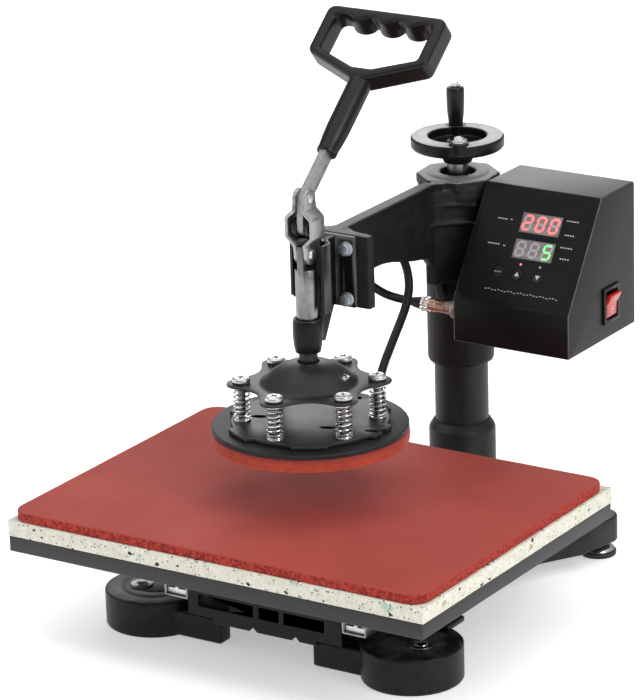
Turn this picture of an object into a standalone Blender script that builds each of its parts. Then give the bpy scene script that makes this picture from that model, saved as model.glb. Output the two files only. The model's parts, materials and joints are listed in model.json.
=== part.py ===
"""Swing-arm heat press: a padded platen on a pull-out drawer, a column with a swinging, height-adjusted arm,
a push-pull toggle that lowers a round, spring-loaded heater, and a temperature controller on the arm.

Sizes are in millimetres and are turned into metres by MM. The machine stands on z = 0 and faces -Y.
"""
import math

import bmesh
import bpy
from mathutils import Matrix, Vector

MM = 0.001
GAP = 0.3  # running or resting clearance between two pieces that touch

# Where the main axes stand
PRESS_Y = -62.0  # vertical axis of the plunger and the heater
COLUMN_Y = 169.0  # vertical axis of the column
PLATEN_Y = -64.5  # middle of the platen

# Base
LEG_BOTTOM = 13.0
LEG_TOP = 35.0
LEG_INNER_X = 45.0
LEG_OUTER_X = 79.5
FRONT_FOOT = (120.3, -111.9)
FRONT_FOOT_R = 40.2
FRONT_FOOT_TOP = 29.5
REAR_FOOT = (120.4, 183.7)
RAIL_X = 83.0
RAIL_TOP = 45.3
RAIL_FRONT = -136.5
RAIL_BACK = 128.0
BEAM_TOP = 43.3
POST_R = 22.25
POST_TOP = 280.0
SOCKET_R = 27.8

# Platen
TRAY_SIZE = (380.0, 288.6)
TRAY_BOTTOM = 79.5
TRAY_TOP = 92.2
PAD_SIZE = (382.4, 290.6)
PAD_TOP = 105.3
MAT_SIZE = (377.2, 284.4)
MAT_Y = -66.2
MAT_TOP = 113.3
MAT_CORNER_R = 15.0

# Arm
SLEEVE_R = 27.6
SLEEVE_BOTTOM = 156.3
SLEEVE_BORE_R = 25.6
SLEEVE_BORE_TOP = 296.0
HUB_TOP = 317.0
STEM_HOLE_R = 14.0
WEB_HALF = 4.0
ARM_TOP = 319.5
BLOCK_FRONT = -27.0
BLOCK_BACK = -18.5
BLOCK_HALF = 36.0
BLOCK_BOTTOM = 260.5

# Toggle
PLATE_HALF = 24.3
PLATE_THICK = 3.0
BOLT_X = 17.8
BOLT_Z = (268.0, 309.2)
FULCRUM_Z = 333.0
CRANK = 23.0  # from the fulcrum to the link's pin
LINK = 45.0
BAR_HALF = 2.7
EAR_HALF = 5.95
BOW_HALF = 12.9
LINK_THICK = 3.0
LINK_WIDTH = 18.0
BUSH_BOTTOM = 231.8
BUSH_TOP = 258.7
ROD_R = 8.6
LEVER_TILT = math.radians(40.0)
LEVER_BEND_Z = 354.9

# Heater
HEATER_R = 77.8
HEATER_TOP = 172.9
HEATER_THICK = 3.3
DISC_BOTTOM = 158.7
SPIDER_Z = (204.8, 206.8)
SCREW_CIRCLE_R = 53.2
SCREW_TURN = math.radians(32.2)
CARRIER_Z = (173.3, 176.3)
DOME_TOP = 224.0

# Handwheel
WHEEL_R = 38.3
WHEEL_INNER_R = 24.0
WHEEL_TOP = 348.4
KNOB_CIRCLE_R = 31.0
KNOB_TURN = math.radians(123.0)

# Controller
BOX_X = (34.0, 141.0)
BOX_Y = (100.8, 209.8)
BOX_Z = (196.8, 316.9)
BOX_WALL = 2.0
COVER_BACK = 207.4
SLOPE_BOTTOM = (100.8, 233.1)
SLOPE_TOP = (156.7, 316.9)
ROCKER_CENTRE = (169.5, 225.0)
BUTTON_U = (33.6, 51.4, 70.2)  # across the sloped panel, from its left edge
BUTTON_V = 27.8  # up the sloped panel, from its lower edge
BUTTON_R = 4.8
DISPLAY_U = (41.2, 78.3)
DISPLAYS_V = ((40.9, 58.0), (62.9, 80.5))
CONNECTOR = (110.0, 221.0)

# The heater cable's route, from the controller's connector round behind the arm and down to the heater
CABLE_R = 3.5
CABLE_ROUTE = (
    (-1.4, 110.0, 221.0), (-13.0, 109.8, 221.3), (-26.0, 100.8, 226.3), (-31.5, 86.0, 237.0),
    (-34.0, 70.0, 252.0), (-32.0, 59.5, 268.0), (-25.5, 62.5, 281.0), (-19.0, 78.5, 280.5),
    (-13.0, 92.0, 270.5), (-8.0, 97.5, 256.0), (0.5, 88.5, 243.0), (7.5, 72.5, 232.3),
    (13.0, 55.0, 224.8), (18.5, 37.0, 218.6), (24.0, 18.5, 211.8), (29.0, 2.5, 206.0),
    (33.4, -10.5, 199.5), (34.4, -14.6, 192.5), (34.5, -15.0, 186.1),
)
GLAND = (34.5, -15.0)

MATERIALS = {
    "black_paint": ((0.045, 0.045, 0.048), 0.42, 0.0),
    "grey_paint": ((0.09, 0.09, 0.095), 0.38, 0.2),
    "black_plastic": ((0.02, 0.02, 0.02), 0.25, 0.0),
    "black_rubber": ((0.025, 0.025, 0.026), 0.6, 0.0),
    "zinc": ((0.62, 0.63, 0.65), 0.35, 1.0),
    "chrome": ((0.8, 0.8, 0.82), 0.12, 1.0),
    "steel": ((0.55, 0.55, 0.57), 0.28, 1.0),
    "brass": ((0.55, 0.36, 0.2), 0.3, 1.0),
    "foam": ((0.72, 0.7, 0.6), 0.9, 0.0),
    "silicone": ((0.45, 0.08, 0.06), 0.7, 0.0),
    "red_plastic": ((0.7, 0.03, 0.03), 0.3, 0.0),
    "display": ((0.5, 0.2, 0.2), 0.3, 0.0),
    "board": ((0.05, 0.25, 0.1), 0.6, 0.0),
}

PLANES = {
    "XY": (0.0, 0.0, 0.0),
    "XZ": (math.pi / 2, 0.0, 0.0),
    "YZ": (math.pi / 2, 0.0, math.pi / 2),
}
AXES = {
    "Z": (0.0, 0.0, 0.0),
    "X": (0.0, math.pi / 2, 0.0),
    "-X": (0.0, -math.pi / 2, 0.0),
    "-Y": (math.pi / 2, 0.0, 0.0),
    "Y": (-math.pi / 2, 0.0, 0.0),
}


# ---------------------------------------------------------------------------------------------------------
# Scene, materials and small helpers


def clear_scene():
    for obj in list(bpy.data.objects):
        bpy.data.objects.remove(obj, do_unlink=True)


def new_collection(name):
    collection = bpy.data.collections.new(name)
    bpy.context.scene.collection.children.link(collection)
    return collection


def make_materials():
    made = {}
    for name, (colour, roughness, metallic) in MATERIALS.items():
        material = bpy.data.materials.new(name)
        material.use_nodes = True
        shader = material.node_tree.nodes["Principled BSDF"]
        shader.inputs["Base Color"].default_value = (*colour, 1.0)
        shader.inputs["Roughness"].default_value = roughness
        shader.inputs["Metallic"].default_value = metallic
        made[name] = material
    return made


def point(x, y, z):
    return Vector((x, y, z)) * MM


def pivot(name, x, y, z):
    """An empty on a joint's axis; the pieces that turn about it are its children."""
    empty = bpy.data.objects.new(name, None)
    empty.location = point(x, y, z)
    empty.empty_display_size = 10 * MM
    PARTS.objects.link(empty)
    return empty


def hold(parent, *pieces):
    for piece in pieces:
        piece.parent = parent
        piece.matrix_parent_inverse = Matrix.Translation(-parent.location)


def add(name, data, material, at=(0, 0, 0), turn=(0, 0, 0)):
    obj = bpy.data.objects.new(name, data)
    obj.location = point(*at)
    obj.rotation_euler = turn
    if material:
        obj.data.materials.append(STUFF[material])
    PARTS.objects.link(obj)
    return obj


def as_cutter(obj):
    obj.hide_render = True
    obj.display_type = "WIRE"
    PARTS.objects.unlink(obj)
    CUTTERS.objects.link(obj)


def boolean(obj, operation, others):
    for other in others:
        modifier = obj.modifiers.new(operation.lower(), "BOOLEAN")
        modifier.operation = operation
        modifier.solver = "EXACT"
        modifier.object = other
        as_cutter(other)
    return obj


def cut(obj, *others):
    return boolean(obj, "DIFFERENCE", others)


def join(obj, *others):
    return boolean(obj, "UNION", others)


def soften(obj, width, segments=2):
    """Rounds the sharp edges by width, in millimetres."""
    bevel = obj.modifiers.new("soft_edges", "BEVEL")
    bevel.width = width * MM
    bevel.segments = segments
    bevel.limit_method = "ANGLE"
    bevel.angle_limit = math.radians(50)
    return obj


# ---------------------------------------------------------------------------------------------------------
# Basic shapes


def box(name, low, high, material=None):
    """A block between two corners."""
    low = Vector(low)
    high = Vector(high)
    mesh = bpy.data.meshes.new(name)
    bm = bmesh.new()
    bmesh.ops.create_cube(bm, size=1.0, matrix=Matrix.Diagonal((*((high - low) * MM), 1.0)))
    bm.to_mesh(mesh)
    bm.free()
    return add(name, mesh, material, at=(low + high) / 2)


def rod(name, start, length, radius, axis="Z", material=None, sides=24):
    """A cylinder that runs from start along an axis."""
    mesh = bpy.data.meshes.new(name)
    bm = bmesh.new()
    middle = Matrix.Translation((0, 0, length / 2 * MM))
    bmesh.ops.create_cone(
        bm, cap_ends=True, segments=sides, radius1=radius * MM, radius2=radius * MM,
        depth=length * MM, matrix=middle)
    bm.to_mesh(mesh)
    bm.free()
    mesh.shade_smooth()
    mesh.set_sharp_from_angle(angle=math.radians(40))
    return add(name, mesh, material, at=start, turn=AXES[axis])


def turned(name, profile, at, axis="Z", material=None, steps=32, closed=False):
    """A profile of (radius, height) points, spun about the axis through at, running down the outside."""
    mesh = bpy.data.meshes.new(name)
    corners = [(r * MM, 0.0, h * MM) for r, h in profile]
    edges = [(i, i + 1) for i in range(len(corners) - 1)]
    if closed:
        edges.append((len(corners) - 1, 0))
    mesh.from_pydata(corners, edges, [])
    obj = add(name, mesh, material, at=at, turn=AXES[axis])
    screw = obj.modifiers.new("turn", "SCREW")
    screw.steps = steps
    screw.render_steps = steps
    screw.use_merge_vertices = True
    screw.merge_threshold = 0.00001
    screw.use_smooth_shade = True
    return obj


def flat(name, loops, thickness, at, plane="XY", material=None, turn=None):
    """Outlines extruded to a thickness, centred on at: the outside first, and then the holes."""
    curve = bpy.data.curves.new(name, "CURVE")
    curve.dimensions = "2D"
    curve.fill_mode = "BOTH"
    curve.extrude = thickness / 2 * MM
    for loop in loops:
        spline = curve.splines.new("POLY")
        spline.points.add(len(loop) - 1)
        for place, (u, v) in zip(spline.points, loop):
            place.co = (u * MM, v * MM, 0.0, 1.0)
        spline.use_cyclic_u = True
        spline.use_smooth = False
    return add(name, curve, material, at=at, turn=turn or PLANES[plane])


def tube(name, points, radius, material=None, resolution=2):
    """A round wire through points, with closed ends."""
    curve = bpy.data.curves.new(name, "CURVE")
    curve.dimensions = "3D"
    curve.bevel_depth = radius * MM
    curve.bevel_resolution = resolution
    curve.use_fill_caps = True
    spline = curve.splines.new("POLY")
    spline.points.add(len(points) - 1)
    for place, where in zip(spline.points, points):
        place.co = (*(Vector(where) * MM), 1.0)
    return add(name, curve, material)


def solid(obj):
    """The same shape as a mesh with its caps welded, so that it can be cut or joined."""
    bpy.context.view_layer.update()
    graph = bpy.context.evaluated_depsgraph_get()
    mesh = bpy.data.meshes.new_from_object(obj.evaluated_get(graph))
    bm = bmesh.new()
    bm.from_mesh(mesh)
    bmesh.ops.remove_doubles(bm, verts=bm.verts, dist=0.000001)
    bm.to_mesh(mesh)
    bm.free()
    name = obj.name
    made = bpy.data.objects.new(name + "_solid", mesh)
    made.matrix_world = obj.matrix_world
    PARTS.objects.link(made)
    bpy.data.objects.remove(obj, do_unlink=True)
    made.name = name
    return made


def rounded(corners, radii, steps=4):
    """An outline of straight sides whose corners are rounded by the radii."""
    outline = []
    count = len(corners)
    for i, corner in enumerate(corners):
        radius = radii[i] if isinstance(radii, (list, tuple)) else radii
        here = Vector(corner)
        before = (Vector(corners[i - 1]) - here).normalized()
        after = (Vector(corners[(i + 1) % count]) - here).normalized()
        if radius <= 0:
            outline.append(tuple(here))
            continue
        half = before.angle(after) / 2
        centre = here + (before + after).normalized() * (radius / math.sin(half))
        start = here + before * (radius / math.tan(half)) - centre
        end = here + after * (radius / math.tan(half)) - centre
        sweep = start.angle_signed(end)
        for step in range(steps + 1):
            angle = -sweep * step / steps
            turned_arm = Matrix.Rotation(angle, 2) @ start
            outline.append(tuple(centre + turned_arm))
    return outline


def rectangle(u, v, radius=0.0, steps=4):
    corners = [(u[0], v[0]), (u[1], v[0]), (u[1], v[1]), (u[0], v[1])]
    return rounded(corners, radius, steps)


def circle(u, v, radius, sides=24):
    turns = [2 * math.pi * i / sides for i in range(sides)]
    return [(u + radius * math.cos(t), v + radius * math.sin(t)) for t in turns]


def arc(u, v, radius, start, end, steps=8):
    """Points on a circle from the start angle to the end angle, in degrees."""
    turns = [math.radians(start + (end - start) * i / steps) for i in range(steps + 1)]
    return [(u + radius * math.cos(t), v + radius * math.sin(t)) for t in turns]


def mirrored(outline, side):
    """The outline for the right (1) or left (-1) side."""
    return [(u * side, v) for u, v in outline]


def around(count, radius, turn, x=0.0, y=0.0):
    """Points evenly round a circle."""
    angles = [turn + 2 * math.pi * i / count for i in range(count)]
    return [(x + radius * math.cos(a), y + radius * math.sin(a)) for a in angles]


# ---------------------------------------------------------------------------------------------------------
# Base


def make_base():
    for side, hand in ((-1, "left"), (1, "right")):
        make_leg(side, hand)
        make_front_foot(side, hand)
        make_rail(side, hand)
        make_rear_foot(side, hand)
    make_cross_channel()
    make_rear_beam()
    make_column()


def make_leg(side, hand):
    foot_x, foot_y = REAR_FOOT
    outline = [
        (LEG_INNER_X, -119.0), (LEG_OUTER_X, -119.0), (LEG_OUTER_X, 45.0), (109.0, 113.0), (127.0, 142.0),
        *arc(foot_x, foot_y, 16.0, 0, 180, 8),
        (100.0, 166.0), (84.0, 138.0), (LEG_INNER_X, 62.0),
    ]
    middle = (LEG_TOP + LEG_BOTTOM) / 2
    leg = solid(flat(f"leg_{hand}", [mirrored(outline, side)], LEG_TOP - LEG_BOTTOM, (0, 0, middle),
                     material="black_paint"))
    lug_bottom = FRONT_FOOT_TOP + GAP
    lug_x = sorted((side * 70.0, side * 136.0))
    lug = box(f"foot_lug_{hand}", (lug_x[0], -83.0, lug_bottom), (lug_x[1], -58.0, LEG_TOP - 0.2))
    stud_hole = rod(f"rear_stud_hole_{hand}", (side * foot_x, foot_y, 0), 60, 4.4)
    join(leg, lug)
    cut(leg, stud_hole)


def make_front_foot(side, hand):
    foot_x, foot_y = FRONT_FOOT
    top = FRONT_FOOT_TOP
    puck = turned(
        f"front_foot_{hand}",
        [(0, top), (37.7, top), (39.6, top - 0.8), (FRONT_FOOT_R, top - 2.4), (FRONT_FOOT_R, 3.0), (37.7, 0),
         (0, 0)],
        (side * foot_x, foot_y, 0), material="black_rubber", steps=32)
    block_x = sorted((side * 43.0, side * 90.0))
    block = box(f"foot_block_{hand}", (block_x[0], -134.4, 1.5), (block_x[1], -119.4, 23.0))
    screw = turned(f"foot_screw_{hand}", [(0, 2.6), (4.6, 2.0), (5.4, 0.8), (9.5, 0.6), (9.8, -2.0),
                                          (0, -2.0)],
                   (side * (foot_x + 10.5), foot_y - 3.5, top), steps=24)
    join(puck, block, screw)


def make_rail(side, hand):
    """A drawer slide's outer member: a channel that is open at the top."""
    wall = 1.6
    left = side * RAIL_X - 11.0
    bottom = LEG_TOP + GAP
    outline = [(left, bottom), (left + 22, bottom), (left + 22, RAIL_TOP), (left + 18, RAIL_TOP),
               (left + 18, RAIL_TOP - wall), (left + 22 - wall, RAIL_TOP - wall),
               (left + 22 - wall, bottom + wall),
               (left + wall, bottom + wall), (left + wall, RAIL_TOP - wall), (left + 4, RAIL_TOP - wall),
               (left + 4, RAIL_TOP), (left, RAIL_TOP)]
    flat(f"rail_{hand}", [outline], RAIL_BACK - RAIL_FRONT, (0, (RAIL_FRONT + RAIL_BACK) / 2, 0), "XZ",
         "zinc")


def make_rear_foot(side, hand):
    """A levelling foot that screws up and down: a threaded stud, a nut, a domed washer and a rubber pad."""
    foot_x, foot_y = REAR_FOOT
    profile = [(0, 44.0), (3.2, 44.0), (4.0, 43.0), (4.0, 12.6), (7.5, 12.6), (7.5, 9.0), (11.0, 8.4),
               (14.4, 5.4), (14.9, 4.6), (14.9, 0.8), (13.9, 0), (0, 0)]
    axis = pivot(f"rear_foot_{hand}_axis", side * foot_x, foot_y, 0)
    foot = turned(f"rear_foot_{hand}", profile, (side * foot_x, foot_y, 0), material="steel", steps=28)
    hold(axis, foot)


def make_cross_channel():
    """A folded sheet across the front of the legs, with three windows and a notched lower edge."""
    half = 71.5
    front = -136.8
    back = -134.8
    seat = LEG_TOP + GAP
    channel = box("cross_channel", (-half, front, 20.0), (half, back, 47.0), "black_paint")
    lip = box("channel_lip", (-half + 0.4, back - 1.0, 44.6), (half - 0.4, back + 14.0, 46.6))
    join(channel, lip)
    for side, hand in ((-1, "left"), (1, "right")):
        ear_x = sorted((side * 64.0, side * 70.0))
        join(channel, box(f"channel_ear_{hand}", (ear_x[0], back - 1.0, seat + 0.4),
                          (ear_x[1], -95.0, seat + 2.6)))
        corner_x = sorted((side * 48.0, side * 80.0))
        cut(channel, box(f"channel_corner_{hand}", (corner_x[0], front - 3, 10.0),
                         (corner_x[1], back + 3, 24.0)))
    for low, high in ((-62.0, -10.0), (-5.0, 14.0), (18.0, 56.0)):
        cut(channel, box(f"channel_window_{high:.0f}", (low, front - 3, 32.0), (high, back + 3, 42.0)))
    for x in (-10.5, 29.0):
        notch = box(f"channel_notch_{x:.0f}", (-2.6, front - 3, -2.6), (2.6, back + 3, 2.6))
        notch.location = point(x, (front + back) / 2, 20.0)
        notch.rotation_euler = (0, math.pi / 4, 0)
        cut(channel, notch)


def make_rear_beam():
    beam = soften(box("rear_beam", (-96.0, 132.0, LEG_TOP + GAP), (96.0, 206.0, BEAM_TOP), "black_paint"),
                  2.0, 2)
    return beam


def make_column():
    seat = BEAM_TOP + GAP
    bore = POST_R + GAP
    socket = [(bore, 104.5), (24.4, 103.0), (25.4, 100.6), (26.6, 99.6), (SOCKET_R, 96.5), (SOCKET_R, 60.0),
              (30.0, 54.0), (34.0, 52.0), (34.0, seat), (bore, seat)]
    turned("column_socket", socket, (0, COLUMN_Y, 0), material="black_paint", steps=32, closed=True)
    post = [(12.0, POST_TOP), (POST_R - 0.8, POST_TOP), (POST_R, POST_TOP - 0.8), (POST_R, seat + 0.2),
            (12.0, seat + 0.2)]
    turned("column_post", post, (0, COLUMN_Y, 0), material="black_paint", steps=32, closed=True)


# ---------------------------------------------------------------------------------------------------------
# Platen


def make_platen():
    slide = pivot("platen_slide_axis", 0, PLATEN_Y, TRAY_BOTTOM)
    half_x = TRAY_SIZE[0] / 2
    half_y = TRAY_SIZE[1] / 2
    wall = 1.6
    tray = box("platen_tray", (-half_x, PLATEN_Y - half_y, TRAY_BOTTOM),
               (half_x, PLATEN_Y + half_y, TRAY_TOP),
               "grey_paint")
    hollow = box("tray_hollow", (-half_x + wall, PLATEN_Y - half_y + wall, TRAY_BOTTOM - 5),
                 (half_x - wall, PLATEN_Y + half_y - wall, TRAY_TOP - wall))
    cut(tray, hollow)
    pad = soft_slab("foam_pad", PAD_SIZE, PLATEN_Y, TRAY_TOP + GAP, PAD_TOP, 2.0, "foam")
    mat = soft_slab("silicone_mat", MAT_SIZE, MAT_Y, PAD_TOP + GAP, MAT_TOP, MAT_CORNER_R, "silicone")
    hold(slide, tray, pad, mat)
    for side, hand in ((-1, "left"), (1, "right")):
        hold(slide, make_slide(side, hand, wall))


def soft_slab(name, size, y, bottom, top, corner, material):
    half_x = size[0] / 2
    half_y = size[1] / 2
    outline = rectangle((-half_x, half_x), (-half_y, half_y), corner, 5)
    return flat(name, [outline], top - bottom, (0, y, (bottom + top) / 2), material=material)


def make_slide(side, hand, tray_wall):
    """A drawer slide's inner member: a bar in the rail, with a bracket up to the tray's underside."""
    centre = side * RAIL_X
    bottom = LEG_TOP + GAP + 1.6 + GAP
    tray_under = TRAY_TOP - tray_wall - GAP
    outline = [(centre - 8.8, bottom), (centre + 8.8, bottom), (centre + 8.8, bottom + 5.0),
               (centre + 2.0, bottom + 5.0), (centre + 2.0, tray_under - 2.0),
               (centre + 14.0, tray_under - 2.0),
               (centre + 14.0, tray_under), (centre - 1.0, tray_under), (centre - 1.0, bottom + 5.0),
               (centre - 8.8, bottom + 5.0)]
    if side < 0:
        outline = [(2 * centre - u, v) for u, v in outline]
    front = RAIL_FRONT + 2.0
    back = 70.0
    return flat(f"slide_{hand}", [outline], back - front, (0, (front + back) / 2, 0), "XZ", "zinc")


# ---------------------------------------------------------------------------------------------------------
# Arm


def make_arm(arm):
    bush = [(SLEEVE_BORE_R - GAP, SLEEVE_BOTTOM + 60), (SLEEVE_BORE_R - GAP, SLEEVE_BOTTOM + 2),
            (POST_R + GAP, SLEEVE_BOTTOM + 2), (POST_R + GAP, SLEEVE_BOTTOM + 60)]
    turned("swing_bush", bush, (0, COLUMN_Y, 0), material="brass", steps=32, closed=True)
    hold(arm, make_arm_casting())


def make_arm_casting():
    """One casting: the sleeve on the column, a flat web with a lip, and the block that holds the toggle."""
    sleeve = [(0, HUB_TOP - 6), (33.0, HUB_TOP - 6), (33.0, HUB_TOP - 14), (SLEEVE_R, HUB_TOP - 30),
              (SLEEVE_R, SLEEVE_BOTTOM + 3), (SLEEVE_R - 1.2, SLEEVE_BOTTOM), (SLEEVE_BORE_R, SLEEVE_BOTTOM),
              (SLEEVE_BORE_R, SLEEVE_BORE_TOP), (0, SLEEVE_BORE_TOP)]
    arm = turned("arm_casting", sleeve, (0, COLUMN_Y, 0), material="black_paint", steps=32)
    hub_plate = flat("hub_plate", [around(8, 34.5, math.radians(22.5 + 6.0))], 8.0,
                     (0, COLUMN_Y, HUB_TOP - 4))
    top = ARM_TOP
    web = [(BLOCK_BACK - 3, top), (118.0, top), (136.0, HUB_TOP - 1), (COLUMN_Y - 20, HUB_TOP - 2),
           (COLUMN_Y - 20, 205.0), (141.0, 212.0), (137.0, 222.0), (132.0, 234.0), (124.0, 248.0),
           (114.0, 258.0),
           (103.0, 260.0), (90.0, 262.5), (74.0, 266.5), (59.0, 270.5), (48.0, 272.5), (33.0, 273.5),
           (12.0, 271.0), (-6.0, 266.0), (BLOCK_BACK - 3, BLOCK_BOTTOM + 1)]
    rib = [(BLOCK_BACK - 3, top), (118.0, top), (136.0, HUB_TOP - 1), (COLUMN_Y - 20, HUB_TOP - 2),
           (COLUMN_Y - 20, HUB_TOP - 6), (135.0, HUB_TOP - 5), (117.0, top - 3.4),
           (BLOCK_BACK - 3, top - 3.4)]
    fillet = [(-24.0, COLUMN_Y - 14), (-13.0, COLUMN_Y - 30), (-WEB_HALF, COLUMN_Y - 46),
              (WEB_HALF, COLUMN_Y - 46),
              (13.0, COLUMN_Y - 30), (24.0, COLUMN_Y - 14)]
    flare = [(-BLOCK_HALF, BLOCK_BACK - 1), (BLOCK_HALF, BLOCK_BACK - 1), (14.0, BLOCK_BACK + 5.0),
             (WEB_HALF, BLOCK_BACK + 12.0), (-WEB_HALF, BLOCK_BACK + 12.0), (-14.0, BLOCK_BACK + 5.0)]
    block_top = ARM_TOP
    block = box("arm_block", (-BLOCK_HALF, BLOCK_FRONT, BLOCK_BOTTOM), (BLOCK_HALF, BLOCK_BACK, block_top))
    web_piece = solid(flat("arm_web", [web], 2 * WEB_HALF, (0, 0, 0), "YZ"))
    rib_piece = solid(flat("arm_rib", [rib], 2 * WEB_HALF + 3.0, (0, 0, 0.1), "YZ"))
    hub_piece = solid(hub_plate)
    fillet_piece = solid(flat("arm_fillet", [fillet], 78.0, (0, 0, 272.0)))
    flare_piece = solid(flat("arm_flare", [flare], 56.4, (0, 0, 290.6)))
    join(arm, hub_piece, web_piece, fillet_piece, flare_piece, block, rib_piece)
    stem_hole = rod("stem_hole", (0, COLUMN_Y, SLEEVE_BORE_TOP - 8), 60, 9.4)
    recess = rod("stem_recess", (0, COLUMN_Y, HUB_TOP - 8.2), 20, STEM_HOLE_R, sides=32)
    bore = rod("sleeve_bore", (0, COLUMN_Y, SLEEVE_BOTTOM - 5), SLEEVE_BORE_TOP - SLEEVE_BOTTOM + 5,
               SLEEVE_BORE_R,
               sides=32)
    cut(arm, bore, stem_hole, recess)
    for x, z in bolt_places():
        cut(arm, rod(f"block_hole_{x:.0f}_{z:.0f}", (x, BLOCK_BACK + 25, z), 50, 4.3, "-Y", sides=16))
    return arm


def bolt_places():
    return [(side * BOLT_X, z) for z in BOLT_Z for side in (-1, 1)]


# ---------------------------------------------------------------------------------------------------------
# Toggle


def make_toggle(arm):
    hold(arm, make_bracket(), make_guide_bush())
    for number, (x, z) in enumerate(bolt_places(), start=1):
        hold(arm, make_bolt(number, x, z))
    fulcrum = pivot("toggle_lever_axis", 0, PRESS_Y, FULCRUM_Z)
    hold(arm, make_pin("fulcrum_pin", FULCRUM_Z, 9.5, 8.5))
    hold(fulcrum, make_lever_bar(), make_grip())
    link_axis = pivot("link_axis", 0, PRESS_Y, FULCRUM_Z + CRANK)
    hold(fulcrum, link_axis)
    hold(link_axis, make_pin("link_pin", FULCRUM_Z + CRANK, 7.4, EAR_HALF + GAP))
    for side, hand in ((-1, "left"), (1, "right")):
        hold(link_axis, make_link_plate(side, hand))


def plate_back():
    return BLOCK_FRONT - GAP


def make_bracket():
    """The toggle's frame: a bolted plate, two lugs for the fulcrum pin and two cheeks round the plunger."""
    front = plate_back() - PLATE_THICK
    bracket = box("toggle_bracket", (-PLATE_HALF, front, BLOCK_BOTTOM + 1),
                  (PLATE_HALF, plate_back(), ARM_TOP - 0.5),
                  "black_paint")
    lug = [*arc(PRESS_Y, FULCRUM_Z, 7.6, 20, 250, 8), (-58.0, 325.8), (-52.5, 325.6), (-52.5, 292.0),
           (front + 1, 272.0), (front + 1, ARM_TOP - 1.0), (-49.0, ARM_TOP - 1.0), (-53.4, 331.0)]
    for side, hand in ((-1, "left"), (1, "right")):
        middle = side * 5.3
        join(bracket, solid(flat(f"lug_{hand}", [lug], 4.2, (middle, 0, 0), "YZ")))
        cheek = [(4.2, front + 1.0), (7.2, front + 1.0), (7.2, -41.0), (9.2, -44.0), (15.4, -50.0),
                 (15.4, -60.4),
                 (13.3, -60.4), (13.3, -51.0), (7.4, -45.6), (4.2, -43.0)]
        low = 275.0 if side < 0 else 262.5
        cheek_piece = flat(f"cheek_{hand}", [mirrored(cheek, side)], 318.6 - low, (0, 0, (318.6 + low) / 2))
        join(bracket, solid(cheek_piece))
    web = [(-45.6, 236.0), (-43.6, 236.0), (front + 1, 262.0), (front + 1, 300.0), (-45.6, 300.0)]
    join(bracket, solid(flat("bush_web", [web], 9.0, (0, 0, 0), "YZ")))
    cut(bracket, rod("fulcrum_hole", (-20, PRESS_Y, FULCRUM_Z), 40, 3.8, "X", sides=16))
    for x, z in bolt_places():
        cut(bracket, rod(f"plate_hole_{x:.0f}_{z:.0f}", (x, plate_back() + 10, z), 30, 4.3, "-Y", sides=16))
    return bracket


def make_guide_bush():
    """The cast barrel that guides the plunger, with the tab that holds it to the bracket."""
    bore = ROD_R + 0.3
    profile = [(bore, BUSH_TOP), (10.9, BUSH_TOP), (11.6, BUSH_TOP - 3), (11.8, BUSH_TOP - 12),
               (11.2, BUSH_BOTTOM + 6), (10.0, BUSH_BOTTOM), (bore, BUSH_BOTTOM)]
    bush = turned("guide_bush", profile, (0, PRESS_Y, 0), material="black_paint", steps=28, closed=True)
    tab = box("bush_tab", (-4.5, PRESS_Y + 10.0, BUSH_BOTTOM + 5), (4.5, -45.9, BUSH_TOP - 3))
    bore_piece = rod("bush_bore", (0, PRESS_Y, BUSH_BOTTOM - 10), 60, bore, sides=28)
    join(bush, tab)
    return cut(bush, bore_piece)


def make_bolt(number, x, z):
    """A hexagon bolt with a flange; its head faces -Y."""
    front = plate_back() - PLATE_THICK - GAP
    bolt = rod(f"bracket_bolt_{number}", (x, front + 13.0, z), 13.0, 3.9, "-Y", "zinc", 16)
    flange = rod(f"bolt_flange_{number}", (x, front, z), 1.4, 6.0, "-Y", sides=24)
    head = rod(f"bolt_head_{number}", (x, front - 0.8, z), 4.6, 5.2, "-Y", sides=6)
    return join(bolt, flange, head)


def make_pin(name, z, head_half, shank_half):
    """A riveted pin across the machine: a shank with a low head at each end."""
    profile = [(0, head_half), (3.4, head_half), (4.6, head_half - 0.4), (4.6, shank_half), (3.4, shank_half),
               (3.4, -shank_half), (4.6, -shank_half), (4.6, -head_half + 0.4), (3.4, -head_half),
               (0, -head_half)]
    return turned(name, profile, (0, PRESS_Y, z), "X", "zinc", steps=16)


def lever_point(along, across=0.0):
    """A place in the YZ plane, along the lever from its bend and across it towards the top."""
    y = PRESS_Y + along * math.cos(LEVER_TILT) - across * math.sin(LEVER_TILT)
    z = LEVER_BEND_Z + along * math.sin(LEVER_TILT) + across * math.cos(LEVER_TILT)
    return (y, z)


def make_lever_bar():
    half = 6.0
    outline = [*arc(PRESS_Y, FULCRUM_Z, half + 0.5, 180, 360, 8), (PRESS_Y + half, 351.0),
               lever_point(3.0, -half),
               lever_point(80.0, -half), lever_point(80.0, half), lever_point(0.0, half),
               (PRESS_Y - half, 352.0)]
    bar = solid(flat("lever_bar", [outline], 2 * BAR_HALF, (0, 0, 0), "YZ", "zinc"))
    holes = [rod(f"bar_hole_{i}", (-20, PRESS_Y, z), 40, 3.7, "X", sides=16)
             for i, z in enumerate((FULCRUM_Z, FULCRUM_Z + CRANK))]
    return cut(bar, *holes)


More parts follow.
